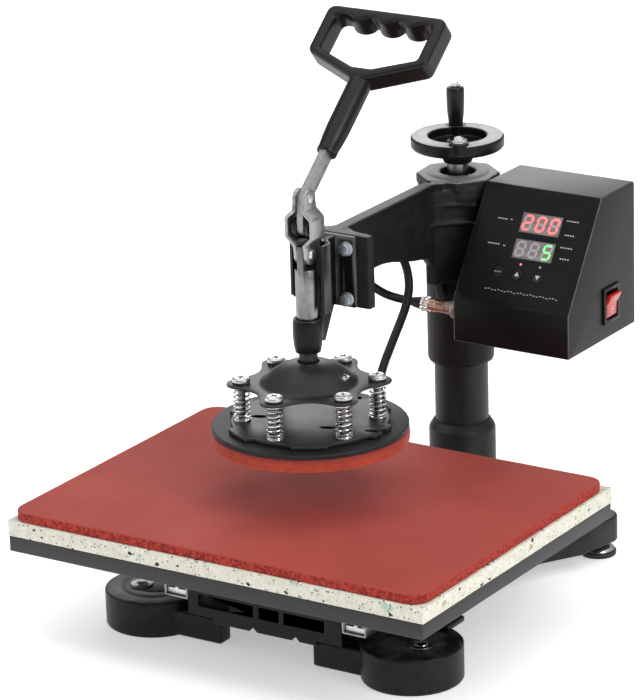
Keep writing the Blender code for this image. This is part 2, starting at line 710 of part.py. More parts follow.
def make_grip():
    """The moulded D-shaped handle with its sleeve over the bar."""
    half = 54.2
    outer = [(-7.0, 111.2), (7.0, 111.2), (half, 130.4), (half, 176.0), (-half, 176.0), (-half, 130.4)]
    inner = [(-44.8, 135.0), (-10.0, 121.6), (10.0, 121.6), (44.8, 135.0), (44.5, 166.5), (-44.5, 166.5)]
    loops = [rounded(outer, [0, 0, 6, 7, 7, 6], 3), rounded(inner, 3.0, 2)]
    bend = (0, PRESS_Y, LEVER_BEND_Z)
    grip = solid(flat("d_grip", loops, 19.0, bend, turn=(LEVER_TILT, 0, 0), material="black_plastic"))
    profile = [(0, 114.0), (9.3, 114.0), (9.5, 108.0), (9.4, 68.0), (8.9, 56.0), (8.1, 46.0), (7.6, 43.5),
               (0, 43.5)]
    lay = (LEVER_TILT - math.pi / 2, 0, 0)
    sleeve = turned("grip_sleeve", profile, bend, steps=20)
    sleeve.rotation_euler = lay
    socket = box("grip_socket", (-BAR_HALF - GAP, -6.3, 38.0), (BAR_HALF + GAP, 6.3, 80.4))
    socket.location = Vector((0, *(c * MM for c in lever_point(59.2))))
    socket.rotation_euler = lay
    join(grip, sleeve)
    return cut(grip, socket)


def make_link_plate(side, hand):
    """One of the link's two plates: narrow at both pins and bowed out round the fulcrum."""
    outer = [(EAR_HALF, 367.0), (EAR_HALF, 346.5), (BOW_HALF, 341.0), (BOW_HALF, 326.3), (EAR_HALF, 319.5),
             (EAR_HALF, 300.0)]
    back = [(x - LINK_THICK, z) for x, z in outer]
    shape = [*outer, *reversed(back)]
    plate = solid(flat(f"link_plate_{hand}", [mirrored(shape, side)], LINK_WIDTH, (0, PRESS_Y, 0), "XZ",
                       "zinc"))
    half = LINK_WIDTH / 2
    top = FULCRUM_Z + CRANK
    bottom = top - LINK
    side_view = [*arc(PRESS_Y, top, half - 1.2, 10, 170, 8), (PRESS_Y - half, 345.0), (PRESS_Y - half, 320.0),
                 *arc(PRESS_Y, bottom, half - 1.2, 190, 350, 8), (PRESS_Y + half, 320.0),
                 (PRESS_Y + half, 345.0)]
    trim = solid(flat(f"link_trim_{hand}", [side_view], 60.0, (0, 0, 0), "YZ"))
    boolean(plate, "INTERSECT", [trim])
    cut(plate, rod(f"link_hole_{hand}", (-20, PRESS_Y, top), 40, 3.7, "X", sides=16))
    start = (side * (EAR_HALF - 0.5), PRESS_Y, bottom)
    rivet = rod(f"link_rivet_{hand}", start, 2.0, 4.6, "X" if side > 0 else "-X", sides=16)
    return join(plate, rivet)


# ---------------------------------------------------------------------------------------------------------
# Plunger and heater


def make_plunger(arm):
    axis = pivot("plunger_axis", 0, PRESS_Y, FULCRUM_Z + CRANK - LINK)
    pin_z = FULCRUM_Z + CRANK - LINK
    profile = [(0, pin_z + 7.5), (ROD_R, pin_z + 7.5), (ROD_R, 247.0), (7.3, 245.0), (7.3, DOME_TOP + 0.3),
               (0, DOME_TOP + 0.3)]
    plunger = turned("plunger_rod", profile, (0, PRESS_Y, 0), material="steel", steps=28)
    tang_half = EAR_HALF - LINK_THICK - GAP
    for side, hand in ((-1, "left"), (1, "right")):
        flat_x = sorted((side * tang_half, side * 20.0))
        cut(plunger, box(f"tang_flat_{hand}", (flat_x[0], PRESS_Y - 20, 299.5),
                         (flat_x[1], PRESS_Y + 20, 330)))
    hold(axis, plunger, make_spider())
    for number, (x, y) in enumerate(around(6, SCREW_CIRCLE_R, SCREW_TURN, y=PRESS_Y), start=1):
        hold(axis, make_spring(number, x, y))
    hold(arm, axis)
    return axis


def make_spider():
    """The domed plate on the plunger, with six lobes for the sprung screws."""
    outline = []
    count = 6
    for i in range(count):
        middle = math.degrees(SCREW_TURN) + 60.0 * i
        lobe = math.radians(middle)
        x = SCREW_CIRCLE_R * math.cos(lobe)
        y = SCREW_CIRCLE_R * math.sin(lobe)
        outline += arc(x, y, 11.5, middle - 70, middle + 70, 6)
        valley = math.radians(middle + 30)
        outline.append((48.0 * math.cos(valley), 48.0 * math.sin(valley)))
    low, high = SPIDER_Z
    plate = solid(flat("spider_plate", [outline], high - low, (0, PRESS_Y, (low + high) / 2),
                       material="black_paint"))
    dome = [(0, DOME_TOP), (12.0, DOME_TOP - 0.8), (24.0, DOME_TOP - 4.6), (33.0, DOME_TOP - 10.0),
            (38.0, high), (38.0, low + 0.4), (35.0, low + 0.4), (30.0, DOME_TOP - 11.5),
            (20.0, DOME_TOP - 6.0),
            (0, DOME_TOP - 3.4)]
    hole = rod("spider_hollow", (0, PRESS_Y, low - 5), 20, 34.0, sides=32)
    cut(plate, hole)
    join(plate, turned("spider_dome", dome, (0, PRESS_Y, 0), steps=24))
    for number, (x, y) in enumerate(around(count, SCREW_CIRCLE_R, SCREW_TURN, y=PRESS_Y), start=1):
        cut(plate, rod(f"spider_hole_{number}", (x, y, low - 5), 20, 3.6, sides=16))
    return plate


def make_spring(number, x, y):
    """A compression spring round its screw, between the carrier and the spider plate."""
    wire = 1.0
    radius = 6.2
    turns = 6.0
    bottom = CARRIER_Z[1] + wire + 0.4
    top = SPIDER_Z[0] - wire - 0.4
    steps = int(turns * 7)
    points = []
    for i in range(steps + 1):
        angle = 2 * math.pi * turns * i / steps
        height = bottom + (top - bottom) * i / steps
        points.append((x + radius * math.cos(angle), y + radius * math.sin(angle), height))
    return tube(f"spring_{number}", points, wire, "chrome", 0)


def make_heater(plunger):
    axis = pivot("heater_float_axis", 0, PRESS_Y, CARRIER_Z[0])
    low, high = CARRIER_Z
    rim = []
    count = 6
    for i in range(count):
        middle = math.degrees(SCREW_TURN) + 60.0 * i
        rim += [p for p in arc(0, 0, 62.5, middle - 15, middle + 15, 3)]
        rim += [p for p in arc(0, 0, 67.0, middle + 18, middle + 42, 3)]
    carrier = solid(flat("carrier_plate", [rim, circle(GLAND[0], GLAND[1] - PRESS_Y, 7.0, 16)], high - low,
                         (0, PRESS_Y, (low + high) / 2), material="black_paint"))
    for number, (x, y) in enumerate(around(count, SCREW_CIRCLE_R, SCREW_TURN, y=PRESS_Y), start=1):
        profile = [(0, 211.7), (6.6, 211.4), (7.2, 210.4), (7.2, 208.2), (6.6, SPIDER_Z[1] + GAP),
                   (3.0, SPIDER_Z[1] + GAP), (3.0, high - 1.0), (0, high - 1.0)]
        join(carrier, turned(f"screw_{number}", profile, (x, y, 0), steps=12))
    disc_top = HEATER_TOP - HEATER_THICK - GAP
    heater = turned("heater_plate", [(0, HEATER_TOP), (HEATER_R - 0.6, HEATER_TOP),
                                     (HEATER_R, HEATER_TOP - 0.6),
                                     (HEATER_R, HEATER_TOP - HEATER_THICK), (0, HEATER_TOP - HEATER_THICK)],
                    (0, PRESS_Y, 0), material="black_paint", steps=40)
    gland_z = HEATER_TOP
    gland = turned("heater_gland", [(0, 12.5), (4.6, 12.5), (5.6, 10.0), (5.8, -1.0), (0, -1.0)],
                   (*GLAND, gland_z), steps=16)
    join(heater, gland)
    disc = turned("silicone_disc",
                  [(0, disc_top), (HEATER_R - 0.3, disc_top), (HEATER_R + 0.2, disc_top - 1.5),
                                    (HEATER_R + 0.2, DISC_BOTTOM + 1.5), (HEATER_R - 1.0, DISC_BOTTOM),
                                    (0, DISC_BOTTOM)],
                  (0, PRESS_Y, 0), material="silicone", steps=40)
    hold(axis, carrier, heater, disc)
    hold(plunger, axis)


# ---------------------------------------------------------------------------------------------------------
# Handwheel


def make_handwheel(arm):
    axis = pivot("handwheel_axis", 0, COLUMN_Y, WHEEL_TOP)
    top = WHEEL_TOP
    profile = [(0, top - 4.5), (8.0, top - 4.5), (12.0, top - 8.0), (WHEEL_INNER_R, top - 8.0),
               (WHEEL_INNER_R, top - 0.8), (WHEEL_INNER_R + 0.8, top), (WHEEL_R - 1.0, top),
               (WHEEL_R, top - 1.0),
               (WHEEL_R, top - 8.6), (WHEEL_R - 2.0, top - 10.6), (WHEEL_INNER_R + 2.0, top - 10.6),
               (15.0, top - 12.0),
               (14.4, top - 16.0), (11.4, top - 22.5), (0, top - 22.5)]
    wheel = turned("handwheel", profile, (0, COLUMN_Y, 0), material="black_paint", steps=32)
    x, y = knob_place(1)
    far_x, far_y = knob_place(-1)
    boss = turned("wheel_boss", [(0, 6.6), (3.6, 6.0), (4.6, 3.4), (6.8, 3.0), (6.8, -1.0), (0, -1.0)],
                  (far_x, far_y, top), steps=16)
    join(wheel, boss)
    cut(wheel, rod("spindle_hole", (x, y, top - 20), 40, 2.9, sides=16))
    stem_top = top - 22.5 - GAP
    stem = turned("lift_screw", [(0, stem_top), (8.75, stem_top), (8.75, 312.6), (13.2, 312.2), (13.2, 309.1),
                                 (8.9, 309.1), (8.9, 240.0), (7.0, 238.0), (0, 238.0)],
                  (0, COLUMN_Y, 0), material="steel", steps=28)
    spindle = turned("knob_spindle", [(0, 36.0), (3.6, 35.6), (5.2, 34.0), (5.2, 32.9), (2.5, 32.9),
                                      (2.5, -13.0),
                                      (0, -13.0)], (x, y, top), material="chrome", steps=16)
    hold(axis, wheel, stem, spindle)
    spin = pivot("knob_axis", x, y, top)
    base = top + GAP
    knob_profile = [(2.8, base + 32.0), (6.6, base + 32.0), (7.3, base + 30.8), (7.3, base + 12.0),
                    (6.2, base),
                    (2.8, base)]
    knob = turned("spin_knob", knob_profile, (x, y, 0), material="black_plastic", steps=20, closed=True)
    hold(spin, knob)
    hold(axis, spin)
    hold(arm, axis)


def knob_place(side):
    """Centre of the revolving knob (1) and of the boss opposite to it (-1)."""
    x = side * KNOB_CIRCLE_R * math.cos(KNOB_TURN)
    y = COLUMN_Y + side * KNOB_CIRCLE_R * math.sin(KNOB_TURN)
    return (x, y)


# ---------------------------------------------------------------------------------------------------------
# Controller


def slope_length():
    return math.dist(SLOPE_BOTTOM, SLOPE_TOP)


def slope_turn():
    """The rotation that lays a flat piece on the sloped panel, with its normal pointing out."""
    rise = math.atan2(SLOPE_TOP[1] - SLOPE_BOTTOM[1], SLOPE_TOP[0] - SLOPE_BOTTOM[0])
    return (rise, 0, 0)


def on_slope(u, v, out=0.0):
    """A place on the sloped panel: across it, up it and out from it."""
    length = slope_length()
    along = ((SLOPE_TOP[0] - SLOPE_BOTTOM[0]) / length, (SLOPE_TOP[1] - SLOPE_BOTTOM[1]) / length)
    y = SLOPE_BOTTOM[0] + v * along[0] - out * along[1]
    z = SLOPE_BOTTOM[1] + v * along[1] + out * along[0]
    return (BOX_X[0] + u, y, z)


def box_side(inset):
    """The box's side outline, moved in by a wall's thickness."""
    low_y = BOX_Y[0] + inset
    lean = inset * 0.72
    return [(low_y, BOX_Z[0] + inset), (BOX_Y[1] - inset, BOX_Z[0] + inset),
            (BOX_Y[1] - inset, BOX_Z[1] - inset),
            (SLOPE_TOP[0] + lean, BOX_Z[1] - inset), (low_y, SLOPE_BOTTOM[1] - lean * 0.72)]


def make_controller(arm):
    width = BOX_X[1] - BOX_X[0]
    middle_x = (BOX_X[0] + BOX_X[1]) / 2
    shell = solid(flat("box_shell", [box_side(0.0)], width, (middle_x, 0, 0), "YZ", "black_paint"))
    inner = box_side(BOX_WALL)
    back = BOX_Y[1] + 10
    inner[1] = (back, inner[1][1])
    inner[2] = (back, inner[2][1])
    hollow = solid(flat("box_hollow", [inner], width - 2 * BOX_WALL, (middle_x, 0, 0), "YZ"))
    cut(shell, hollow)
    for number, u in enumerate(BUTTON_U, start=1):
        cut(shell, slope_rod(f"button_hole_{number}", u, BUTTON_V, -6.0, 12.0, BUTTON_R + GAP, None))
    for number, rows in enumerate(DISPLAYS_V, start=1):
        window = box(f"display_hole_{number}", (0, 0, 0), (DISPLAY_U[1] - DISPLAY_U[0], rows[1] - rows[0],
                                                           12.0))
        window.location = point(*on_slope(sum(DISPLAY_U) / 2, sum(rows) / 2))
        window.rotation_euler = slope_turn()
        cut(shell, window)
    y, z = ROCKER_CENTRE
    cut(shell, box("rocker_hole", (BOX_X[1] - 6, y - 11.0, z - 13.5), (BOX_X[1] + 6, y + 11.0, z + 13.5)))
    cut(shell, rod("connector_hole", (BOX_X[0] - 5, *CONNECTOR), 12, 4.6, "X", sides=20))
    hold(arm, shell, make_box_cover(), make_display(), make_bezel(), make_connector(), make_box_mount(),
         make_inlet(), make_board())
    make_buttons(arm)
    make_rocker(arm)


def slope_rod(name, u, v, out, length, radius, material, sides=20):
    piece = rod(name, on_slope(u, v, out), length, radius, "Z", material, sides)
    piece.rotation_euler = slope_turn()
    return piece


def make_box_cover():
    """The plate that closes the box's back, with the hole for the power inlet."""
    inset = BOX_WALL + GAP
    cover = box("box_cover", (BOX_X[0] + inset, COVER_BACK - 2.0, BOX_Z[0] + inset),
                (BOX_X[1] - inset, COVER_BACK, BOX_Z[1] - inset), "black_paint")
    return cut(cover, box("inlet_hole", (66.0, COVER_BACK - 5, 210.0), (94.0, COVER_BACK + 5, 231.0)))


def make_inlet():
    """The mains inlet in the back cover: a flanged block with a socket."""
    back = COVER_BACK
    inlet = box("power_inlet", (62.0, back + GAP, 206.0), (98.0, BOX_Y[1], 235.0), "black_plastic")
    body = box("inlet_body", (66.4, back - 18.0, 210.4), (93.6, back + 1.0, 230.6))
    join(inlet, body)
    return cut(inlet, box("inlet_socket", (69.0, back - 14.0, 213.0), (91.0, back + 9.0, 228.0)))


def make_display():
    """The display module behind the panel, whose two windows stand in the shell's openings."""
    low = DISPLAYS_V[0][0] - 4
    high = DISPLAYS_V[1][1] + 4
    module = box("display_unit", (0, 0, 0), (DISPLAY_U[1] - DISPLAY_U[0] + 8, high - low, 4.0), "display")
    module.location = point(*on_slope(sum(DISPLAY_U) / 2, (low + high) / 2, -BOX_WALL - GAP - 2.0))
    module.rotation_euler = slope_turn()
    for number, rows in enumerate(DISPLAYS_V, start=1):
        face = box(f"display_face_{number}", (0, 0, 0),
                   (DISPLAY_U[1] - DISPLAY_U[0] - 0.6, rows[1] - rows[0] - 0.6,
                                                         3.0))
        face.location = point(*on_slope(sum(DISPLAY_U) / 2, sum(rows) / 2, -1.8))
        face.rotation_euler = slope_turn()
        join(module, face)
    return module


def make_board():
    """The control board inside the box."""
    return box("control_board", (44.0, 196.0, 240.0), (131.0, 197.6, 306.0), "board")


def make_bezel():
    y, z = ROCKER_CENTRE
    side = BOX_X[1]
    bezel = box("rocker_bezel", (side + GAP, y - 13.0, z - 15.5), (side + 1.8, y + 13.0, z + 15.5),
                "black_plastic")
    frame = box("bezel_frame", (side - 16.0, y - 10.7, z - 13.2), (side + 1.0, y + 10.7, z + 13.2))
    join(bezel, frame)
    return cut(bezel, box("bezel_hole", (side - 14.0, y - 8.9, z - 11.9), (side + 6.0, y + 8.9, z + 11.9)))


def make_rocker(arm):
    """The red rocker, which tips about an axis along Y."""
    y, z = ROCKER_CENTRE
    axis_x = BOX_X[1]
    axis = pivot("rocker_axis", axis_x, y, z)
    outline = [(axis_x - 7.0, z - 5.0), (axis_x - 0.4, z - 10.2), (axis_x + 1.2, z - 10.6), (axis_x + 1.6, z),
               (axis_x + 6.4, z + 9.0), (axis_x + 4.8, z + 10.2), (axis_x - 7.0, z + 5.0)]
    hold(axis, flat("rocker", [outline], 17.0, (0, y, 0), "XZ", "red_plastic"))
    hold(arm, axis)


def make_buttons(arm):
    names = ("button_set", "button_up", "button_down")
    for name, u in zip(names, BUTTON_U):
        axis = pivot(f"{name}_axis", *on_slope(u, BUTTON_V))
        button = slope_rod(name, u, BUTTON_V, -6.0, 6.9, BUTTON_R, "black_plastic")
        hold(axis, button)
        hold(arm, axis)


def make_connector():
    """The round connector in the box's side: a flange nut, a barrel and a knurled clamp ring."""
    side = BOX_X[0]
    profile = [(0, 35.0), (5.4, 35.0), (6.5, 34.0), (6.5, 27.0), (4.5, 26.6), (4.5, 10.0), (7.4, 9.6),
               (8.0, 8.6),
               (8.0, GAP), (4.2, GAP), (4.2, -6.0), (0, -6.0)]
    return turned("heater_connector", profile, (side, *CONNECTOR), "-X", "brass", steps=24)


def make_box_mount():
    """The bracket between the arm's sleeve and the box."""
    low = 222.0
    high = 286.0
    x = BOX_X[0] - GAP
    return box("box_mount", (SLEEVE_R + GAP, COLUMN_Y - 16, low), (x, COLUMN_Y + 16, high), "black_paint")


def make_cable(arm):
    hold(arm, tube("heater_cable", CABLE_ROUTE, CABLE_R, "black_rubber", 2))


# ---------------------------------------------------------------------------------------------------------

clear_scene()
PARTS = new_collection("heat_press")
CUTTERS = new_collection("cutters")
STUFF = make_materials()
ARM_AXIS = pivot("arm_swing_axis", 0, COLUMN_Y, SLEEVE_BOTTOM)
make_base()
make_platen()
make_arm(ARM_AXIS)
make_toggle(ARM_AXIS)
make_heater(make_plunger(ARM_AXIS))
make_handwheel(ARM_AXIS)
make_controller(ARM_AXIS)
make_cable(ARM_AXIS)
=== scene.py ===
"""Looks of the swing-arm heat press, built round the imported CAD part.

Lengths are in millimetres and are turned into metres by MM. The machine stands on z = 0 and faces -Y.
"""
import json
import math

import bmesh
import bpy
from mathutils import Matrix, Vector, noise


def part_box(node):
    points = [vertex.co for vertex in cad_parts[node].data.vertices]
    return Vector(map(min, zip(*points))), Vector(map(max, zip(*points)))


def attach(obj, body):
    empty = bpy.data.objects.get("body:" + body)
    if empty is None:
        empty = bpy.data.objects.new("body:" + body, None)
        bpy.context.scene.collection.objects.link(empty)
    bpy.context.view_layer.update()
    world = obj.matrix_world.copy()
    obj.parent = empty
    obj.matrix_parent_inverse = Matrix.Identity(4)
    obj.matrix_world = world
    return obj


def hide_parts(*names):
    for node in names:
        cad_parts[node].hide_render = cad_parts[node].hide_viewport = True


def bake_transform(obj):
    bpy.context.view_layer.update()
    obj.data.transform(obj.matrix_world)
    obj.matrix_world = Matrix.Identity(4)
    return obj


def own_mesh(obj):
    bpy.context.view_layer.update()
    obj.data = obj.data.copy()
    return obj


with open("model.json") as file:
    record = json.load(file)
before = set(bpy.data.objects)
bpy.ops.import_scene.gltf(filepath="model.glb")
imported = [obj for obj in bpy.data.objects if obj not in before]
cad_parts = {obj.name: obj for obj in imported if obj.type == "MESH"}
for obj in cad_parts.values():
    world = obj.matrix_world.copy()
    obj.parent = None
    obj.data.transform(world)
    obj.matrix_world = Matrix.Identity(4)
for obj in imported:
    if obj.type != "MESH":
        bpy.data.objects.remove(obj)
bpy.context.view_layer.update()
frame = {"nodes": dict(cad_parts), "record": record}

MM = 0.001
PRESS_Y = -62.0  # vertical axis of the plunger and the heater
COLUMN_Y = 169.0  # vertical axis of the column
PLATEN_Y = -64.5
SCREW_CIRCLE_R = 53.2
SCREW_TURN = math.radians(32.2)
FRONT_FOOT = (120.3, -111.9)  # the right one
HUB_TOP_Z = 315.5
HUB_BARE = (15.0, 36.2)  # radii between which the top of the hub is machined bare, and painted pale partly as a painted highlight
DISPLAY_SIDES = (41.2, 78.3)  # on the panel, like the three below
DISPLAY_ROWS = ((40.9, 58.0), (62.9, 80.5))
KEYS = {"button_set": 33.6, "button_up": 51.4, "button_down": 70.2}
KEY_ROW = 27.8

YZ = Matrix(((0, 0, 1, 0), (1, 0, 0, 0), (0, 1, 0, 0), (0, 0, 0, 1)))  # drawn in XY, stood up to face +X
TO_X = Matrix.Rotation(math.pi / 2, 4, "Y")  # turned about Z, laid along +X
TO_MINUS_X = Matrix.Rotation(-math.pi / 2, 4, "Y")
TO_Y = Matrix.Rotation(-math.pi / 2, 4, "X")

# The sloped control panel: u runs across it, v up it and the third axis out of it
SLOPE_BOTTOM = (100.8, 233.1)
SLOPE_TOP = (156.7, 316.9)
BOX_LEFT = 34.0
BOX_RIGHT = 141.0
SOCKET = (BOX_LEFT, 110.0, 221.0)  # the heater connector's place on the box
SLOPE_ANGLE = math.atan2(SLOPE_TOP[1] - SLOPE_BOTTOM[1], SLOPE_TOP[0] - SLOPE_BOTTOM[0])
PANEL = Matrix.Translation((BOX_LEFT, *SLOPE_BOTTOM)) @ Matrix.Rotation(SLOPE_ANGLE, 4, "X")
LEVER = Matrix.Translation((0, PRESS_Y, 354.9)) @ Matrix.Rotation(math.radians(40.0), 4, "X")

CABLE_R = 3.5
CABLE_ROUTE = (
    (-1.4, 110.0, 221.0), (-13.0, 109.8, 221.3), (-26.0, 100.8, 226.3), (-31.5, 86.0, 237.0),
    (-34.0, 70.0, 252.0), (-32.0, 59.5, 268.0), (-25.5, 62.5, 281.0), (-19.0, 78.5, 280.5),
    (-13.0, 92.0, 270.5), (-8.0, 97.5, 256.0), (0.5, 88.5, 243.0), (7.5, 72.5, 232.3),
    (13.0, 55.0, 224.8), (18.5, 37.0, 218.6), (24.0, 18.5, 211.8), (29.0, 2.5, 206.0),
    (33.4, -10.5, 199.5), (34.4, -14.6, 192.5), (34.5, -15.0, 186.1),
)
GLAND = (*CABLE_ROUTE[-1][:2], 0)  # the vertical axis of the gland on the heater


# ---------------------------------------------------------------------------------------------------------
# Camera, light and floor


def make_camera():
    """The view: 33 degrees round to the right and 19 degrees up, from about 3.3 m."""
    azimuth, elevation, roll = 0.5771761333, 0.3268140035, -0.0289045114
    place = (1.70166498, -2.65848593, 1.28452598)
    back = Vector((math.sin(azimuth) * math.cos(elevation), -math.cos(azimuth) * math.cos(elevation),
        math.sin(elevation)))
    right = Vector((math.cos(azimuth), math.sin(azimuth), 0.0))
    up = back.cross(right)
    across = math.cos(roll) * right + math.sin(roll) * up
    upward = math.cos(roll) * up - math.sin(roll) * right
    data = bpy.data.cameras.new("camera")
    data.sensor_fit = "VERTICAL"
    data.sensor_height = 36.0
    data.sensor_width = 36.0
    data.lens = 216.2158
    data.clip_end = 100.0
    camera = bpy.data.objects.new("camera", data)
    turn = Matrix((across, upward, back)).transposed().to_4x4()
    camera.matrix_world = Matrix.Translation(place) @ turn
    bpy.context.scene.collection.objects.link(camera)
    bpy.context.scene.camera = camera


def make_area_light(name, place, target, size, watts, tone=(1.0, 1.0, 1.0)):
    data = bpy.data.lights.new(name, "AREA")
    data.shape = "RECTANGLE"
    data.size, data.size_y = size
    data.energy = watts
    data.color = tone
    light = bpy.data.objects.new(name, data)
    light.location = place
    light.rotation_euler = (Vector(target) - Vector(place)).to_track_quat("-Z", "Y").to_euler()
    bpy.context.scene.collection.objects.link(light)


def make_studio():
    world = bpy.data.worlds.new("studio")
    world.use_nodes = True
    tree = world.node_tree
    direction = node(tree, "TexCoord").outputs["Generated"]
    height = node(tree, "SeparateXYZ", {"Vector": direction}).outputs["Z"]
    ramp = node(tree, "MapRange", {"Value": height, "From Min": -0.1, "From Max": 0.9, "To Min": 0.14,
        "To Max": 0.50}).outputs[0]
    tree.links.new(ramp, tree.nodes["Background"].inputs["Strength"])
    tree.nodes["Background"].inputs["Color"].default_value = (1, 1, 1, 1)
    bpy.context.scene.world = world
    bpy.context.scene.view_settings.view_transform = "Standard"
    make_area_light("key", (2.0, -0.5, 1.5), (0.0, 0.0, 0.2), (0.8, 1.6), 26.0)
    make_area_light("top", (0.0, 0.3, 2.6), (0.0, 0.0, 0.2), (3.6, 3.0), 34.0)
    make_area_light("back", (-1.45, 2.25, 1.15), (0.0, 0.0, 0.25), (1.3, 1.1), 13.0)
    make_area_light("edge", (-1.25, -1.65, 1.5), (0.0, 0.0, 0.25), (1.5, 0.22), 7.0)
    make_area_light("left", (-1.8, -0.9, 0.6), (0.0, 0.0, 0.25), (0.2, 1.4), 4.0)
    size = 30.0
    mesh = bpy.data.meshes.new("floor")
    mesh.from_pydata([(-size, -size, 0), (size, -size, 0), (size, size, 0), (-size, size, 0)], [],
        [(0, 1, 2, 3)])
    floor = bpy.data.objects.new("floor", mesh)
    bpy.context.scene.collection.objects.link(floor)
    mesh.materials.append(STUFF["floor_paper"])


# ---------------------------------------------------------------------------------------------------------
# Materials


def grey(level):
    return (level, level, level)


def node(tree, kind, inputs=None, **settings):
    made = tree.nodes.new("ShaderNode" + kind)
    for key, value in settings.items():
        setattr(made, key, value)
    for key, value in (inputs or {}).items():
        if isinstance(value, bpy.types.NodeSocket):
            tree.links.new(value, made.inputs[key])
        else:
            made.inputs[key].default_value = value
    return made


def maths(tree, operation, a, b=0.0, c=0.0, clamp=False):
    return node(tree, "Math", {0: a, 1: b, 2: c}, operation=operation, use_clamp=clamp).outputs[0]


def remap(tree, value, low, high, out_low=0.0, out_high=1.0):
    return node(tree, "MapRange", {"Value": value, "From Min": low, "From Max": high, "To Min": out_low,
        "To Max": out_high}).outputs[0]


def level_of(tree, normal="Normal"):
    """How far the surface faces upwards, from -1 to 1."""
    faces = node(tree, "NewGeometry").outputs[normal]
    return node(tree, "SeparateXYZ", {"Vector": faces}).outputs["Z"]


def blended(tree, factor, a, b, mode="MIX"):
    """Two colours mixed by a factor."""
    sides = {6: a if isinstance(a, bpy.types.NodeSocket) else (*a, 1.0),
        7: b if isinstance(b, bpy.types.NodeSocket) else (*b, 1.0)}
    mixed = node(tree, "Mix", {0: factor, **sides}, data_type="RGBA", blend_type=mode)
    return mixed.outputs[2]


def finish(colour, roughness, metallic=0.0, tint=None, mottle=40.0, spread=0.1, grain=(0.05, 1500.0),
        stretch=(1.0, 1.0, 1.0), wear_and_highlight=0.0, edge=0.4, specular=0.5, coat=0.0, pattern=None, glow=None,
        upward=0.0):
    """A surface whose colour drifts in clouds, with a fine grain in its colour, gloss and relief.

    grain is (relief in mm, lumps per metre). wear lightens the edges, partly as real rubbing and partly as a
    painted highlight along them. pattern(tree, place, colour) may return a new colour and a height in mm to
    add to the grain. upward paints the faces that look up paler, partly as dust and partly as a painted sheen
    of the light that falls on them.
    """
    material = bpy.data.materials.new("finish")
    material.use_nodes = True
    tree = material.node_tree
    shader = tree.nodes["Principled BSDF"]
    place = node(tree, "TexCoord").outputs["Object"]
    drawn = node(tree, "Mapping", {"Vector": place, "Scale": stretch}).outputs[0]
    cloud = node(tree, "TexNoise", {"Vector": place, "Scale": mottle, "Detail": 4.0}).outputs[0]
    fine = node(tree, "TexNoise", {"Vector": drawn, "Scale": grain[1], "Detail": 2.0}).outputs[0]
    shade = blended(tree, remap(tree, cloud, 0.35, 0.65), colour, tint or tuple(c * 0.8 for c in colour))
    height = maths(tree, "MULTIPLY", fine, grain[0] * MM)
    if pattern:
        shade, relief = pattern(tree, place, shade)
        height = maths(tree, "MULTIPLY_ADD", relief, MM, height)
    speck = remap(tree, fine, 0.3, 0.7, 0.88, 1.12)
    shade = node(tree, "VectorMath", {0: shade, 3: speck}, operation="SCALE").outputs[0]
    rough = maths(tree, "MULTIPLY_ADD", cloud, spread, roughness - spread / 2)
    rough = maths(tree, "MULTIPLY_ADD", fine, spread, rough, clamp=True)
    smooth = None
    if edge:
        smooth = node(tree, "Bevel", {"Radius": edge * MM}, samples=4).outputs[0]
        # The edges are painted lighter: partly real rubbing, partly a painted highlight along them.
        if wear_and_highlight:
            wide = node(tree, "Bevel", {"Radius": 1.3 * MM}, samples=6).outputs[0]
            true = node(tree, "NewGeometry").outputs["True Normal"]
            turn = node(tree, "VectorMath", {0: wide, 1: true}, operation="DOT_PRODUCT").outputs["Value"]
            rubbed_and_highlit = maths(tree, "MULTIPLY", remap(tree, turn, 0.985, 0.80), wear_and_highlight)
            rubbed_and_highlit = maths(tree, "MULTIPLY", rubbed_and_highlit, remap(tree, cloud, 0.3, 0.6, 0.5, 1.0))
            shade = blended(tree, rubbed_and_highlit, shade, tuple(min(1.0, c * 3 + 0.14) for c in colour))
    # The faces that look up are painted paler: partly dust, partly a painted sheen of the light falling on
    # them.
    if upward:
        dust_and_top_sheen = maths(tree, "MULTIPLY", remap(tree, level_of(tree), 0.75, 1.0), remap(tree, cloud, 0.3, 0.7,
            0.6, 1.0))
        shade = blended(tree, dust_and_top_sheen, shade, grey(upward))
    bump = node(tree, "Bump", {"Height": height, "Distance": 1.0, "Strength": 1.0})
    if smooth:
        tree.links.new(smooth, bump.inputs["Normal"])
    for key, value in {"Base Color": shade, "Roughness": rough, "Normal": bump.outputs[0]}.items():
        tree.links.new(value, shader.inputs[key])
    shader.inputs["Metallic"].default_value = metallic
    shader.inputs["Specular IOR Level"].default_value = specular
    shader.inputs["Coat Weight"].default_value = coat
    shader.inputs["Coat Roughness"].default_value = 0.12
    if glow:
        shader.inputs["Emission Color"].default_value = (*glow[0], 1.0)
        shader.inputs["Emission Strength"].default_value = glow[1]
    return material


def specks(tree, place, base, scale, share, size, colour, stretch=1.0):
    """Chips of a colour scattered through a solid: share of the cells have one, of the size in cells."""
    warped = node(tree, "Mapping", {"Vector": place, "Scale": (1.0, 1.0, stretch)}).outputs[0]
    cells = node(tree, "TexVoronoi", {"Vector": warped, "Scale": scale})
    chance = node(tree, "SeparateColor", {"Color": cells.outputs["Color"]})
    chosen = maths(tree, "GREATER_THAN", chance.outputs[0], 1.0 - share)
    room = maths(tree, "MULTIPLY", chance.outputs[1], size)
    ragged = node(tree, "TexNoise", {"Vector": place, "Scale": scale * 4}).outputs[0]
    reach = maths(tree, "MULTIPLY_ADD", ragged, 0.5, cells.outputs["Distance"])
    near = remap(tree, maths(tree, "SUBTRACT", reach, room), 0.33, 0.40, 1.0, 0.0)
    return blended(tree, maths(tree, "MULTIPLY", chosen, near), base, colour)


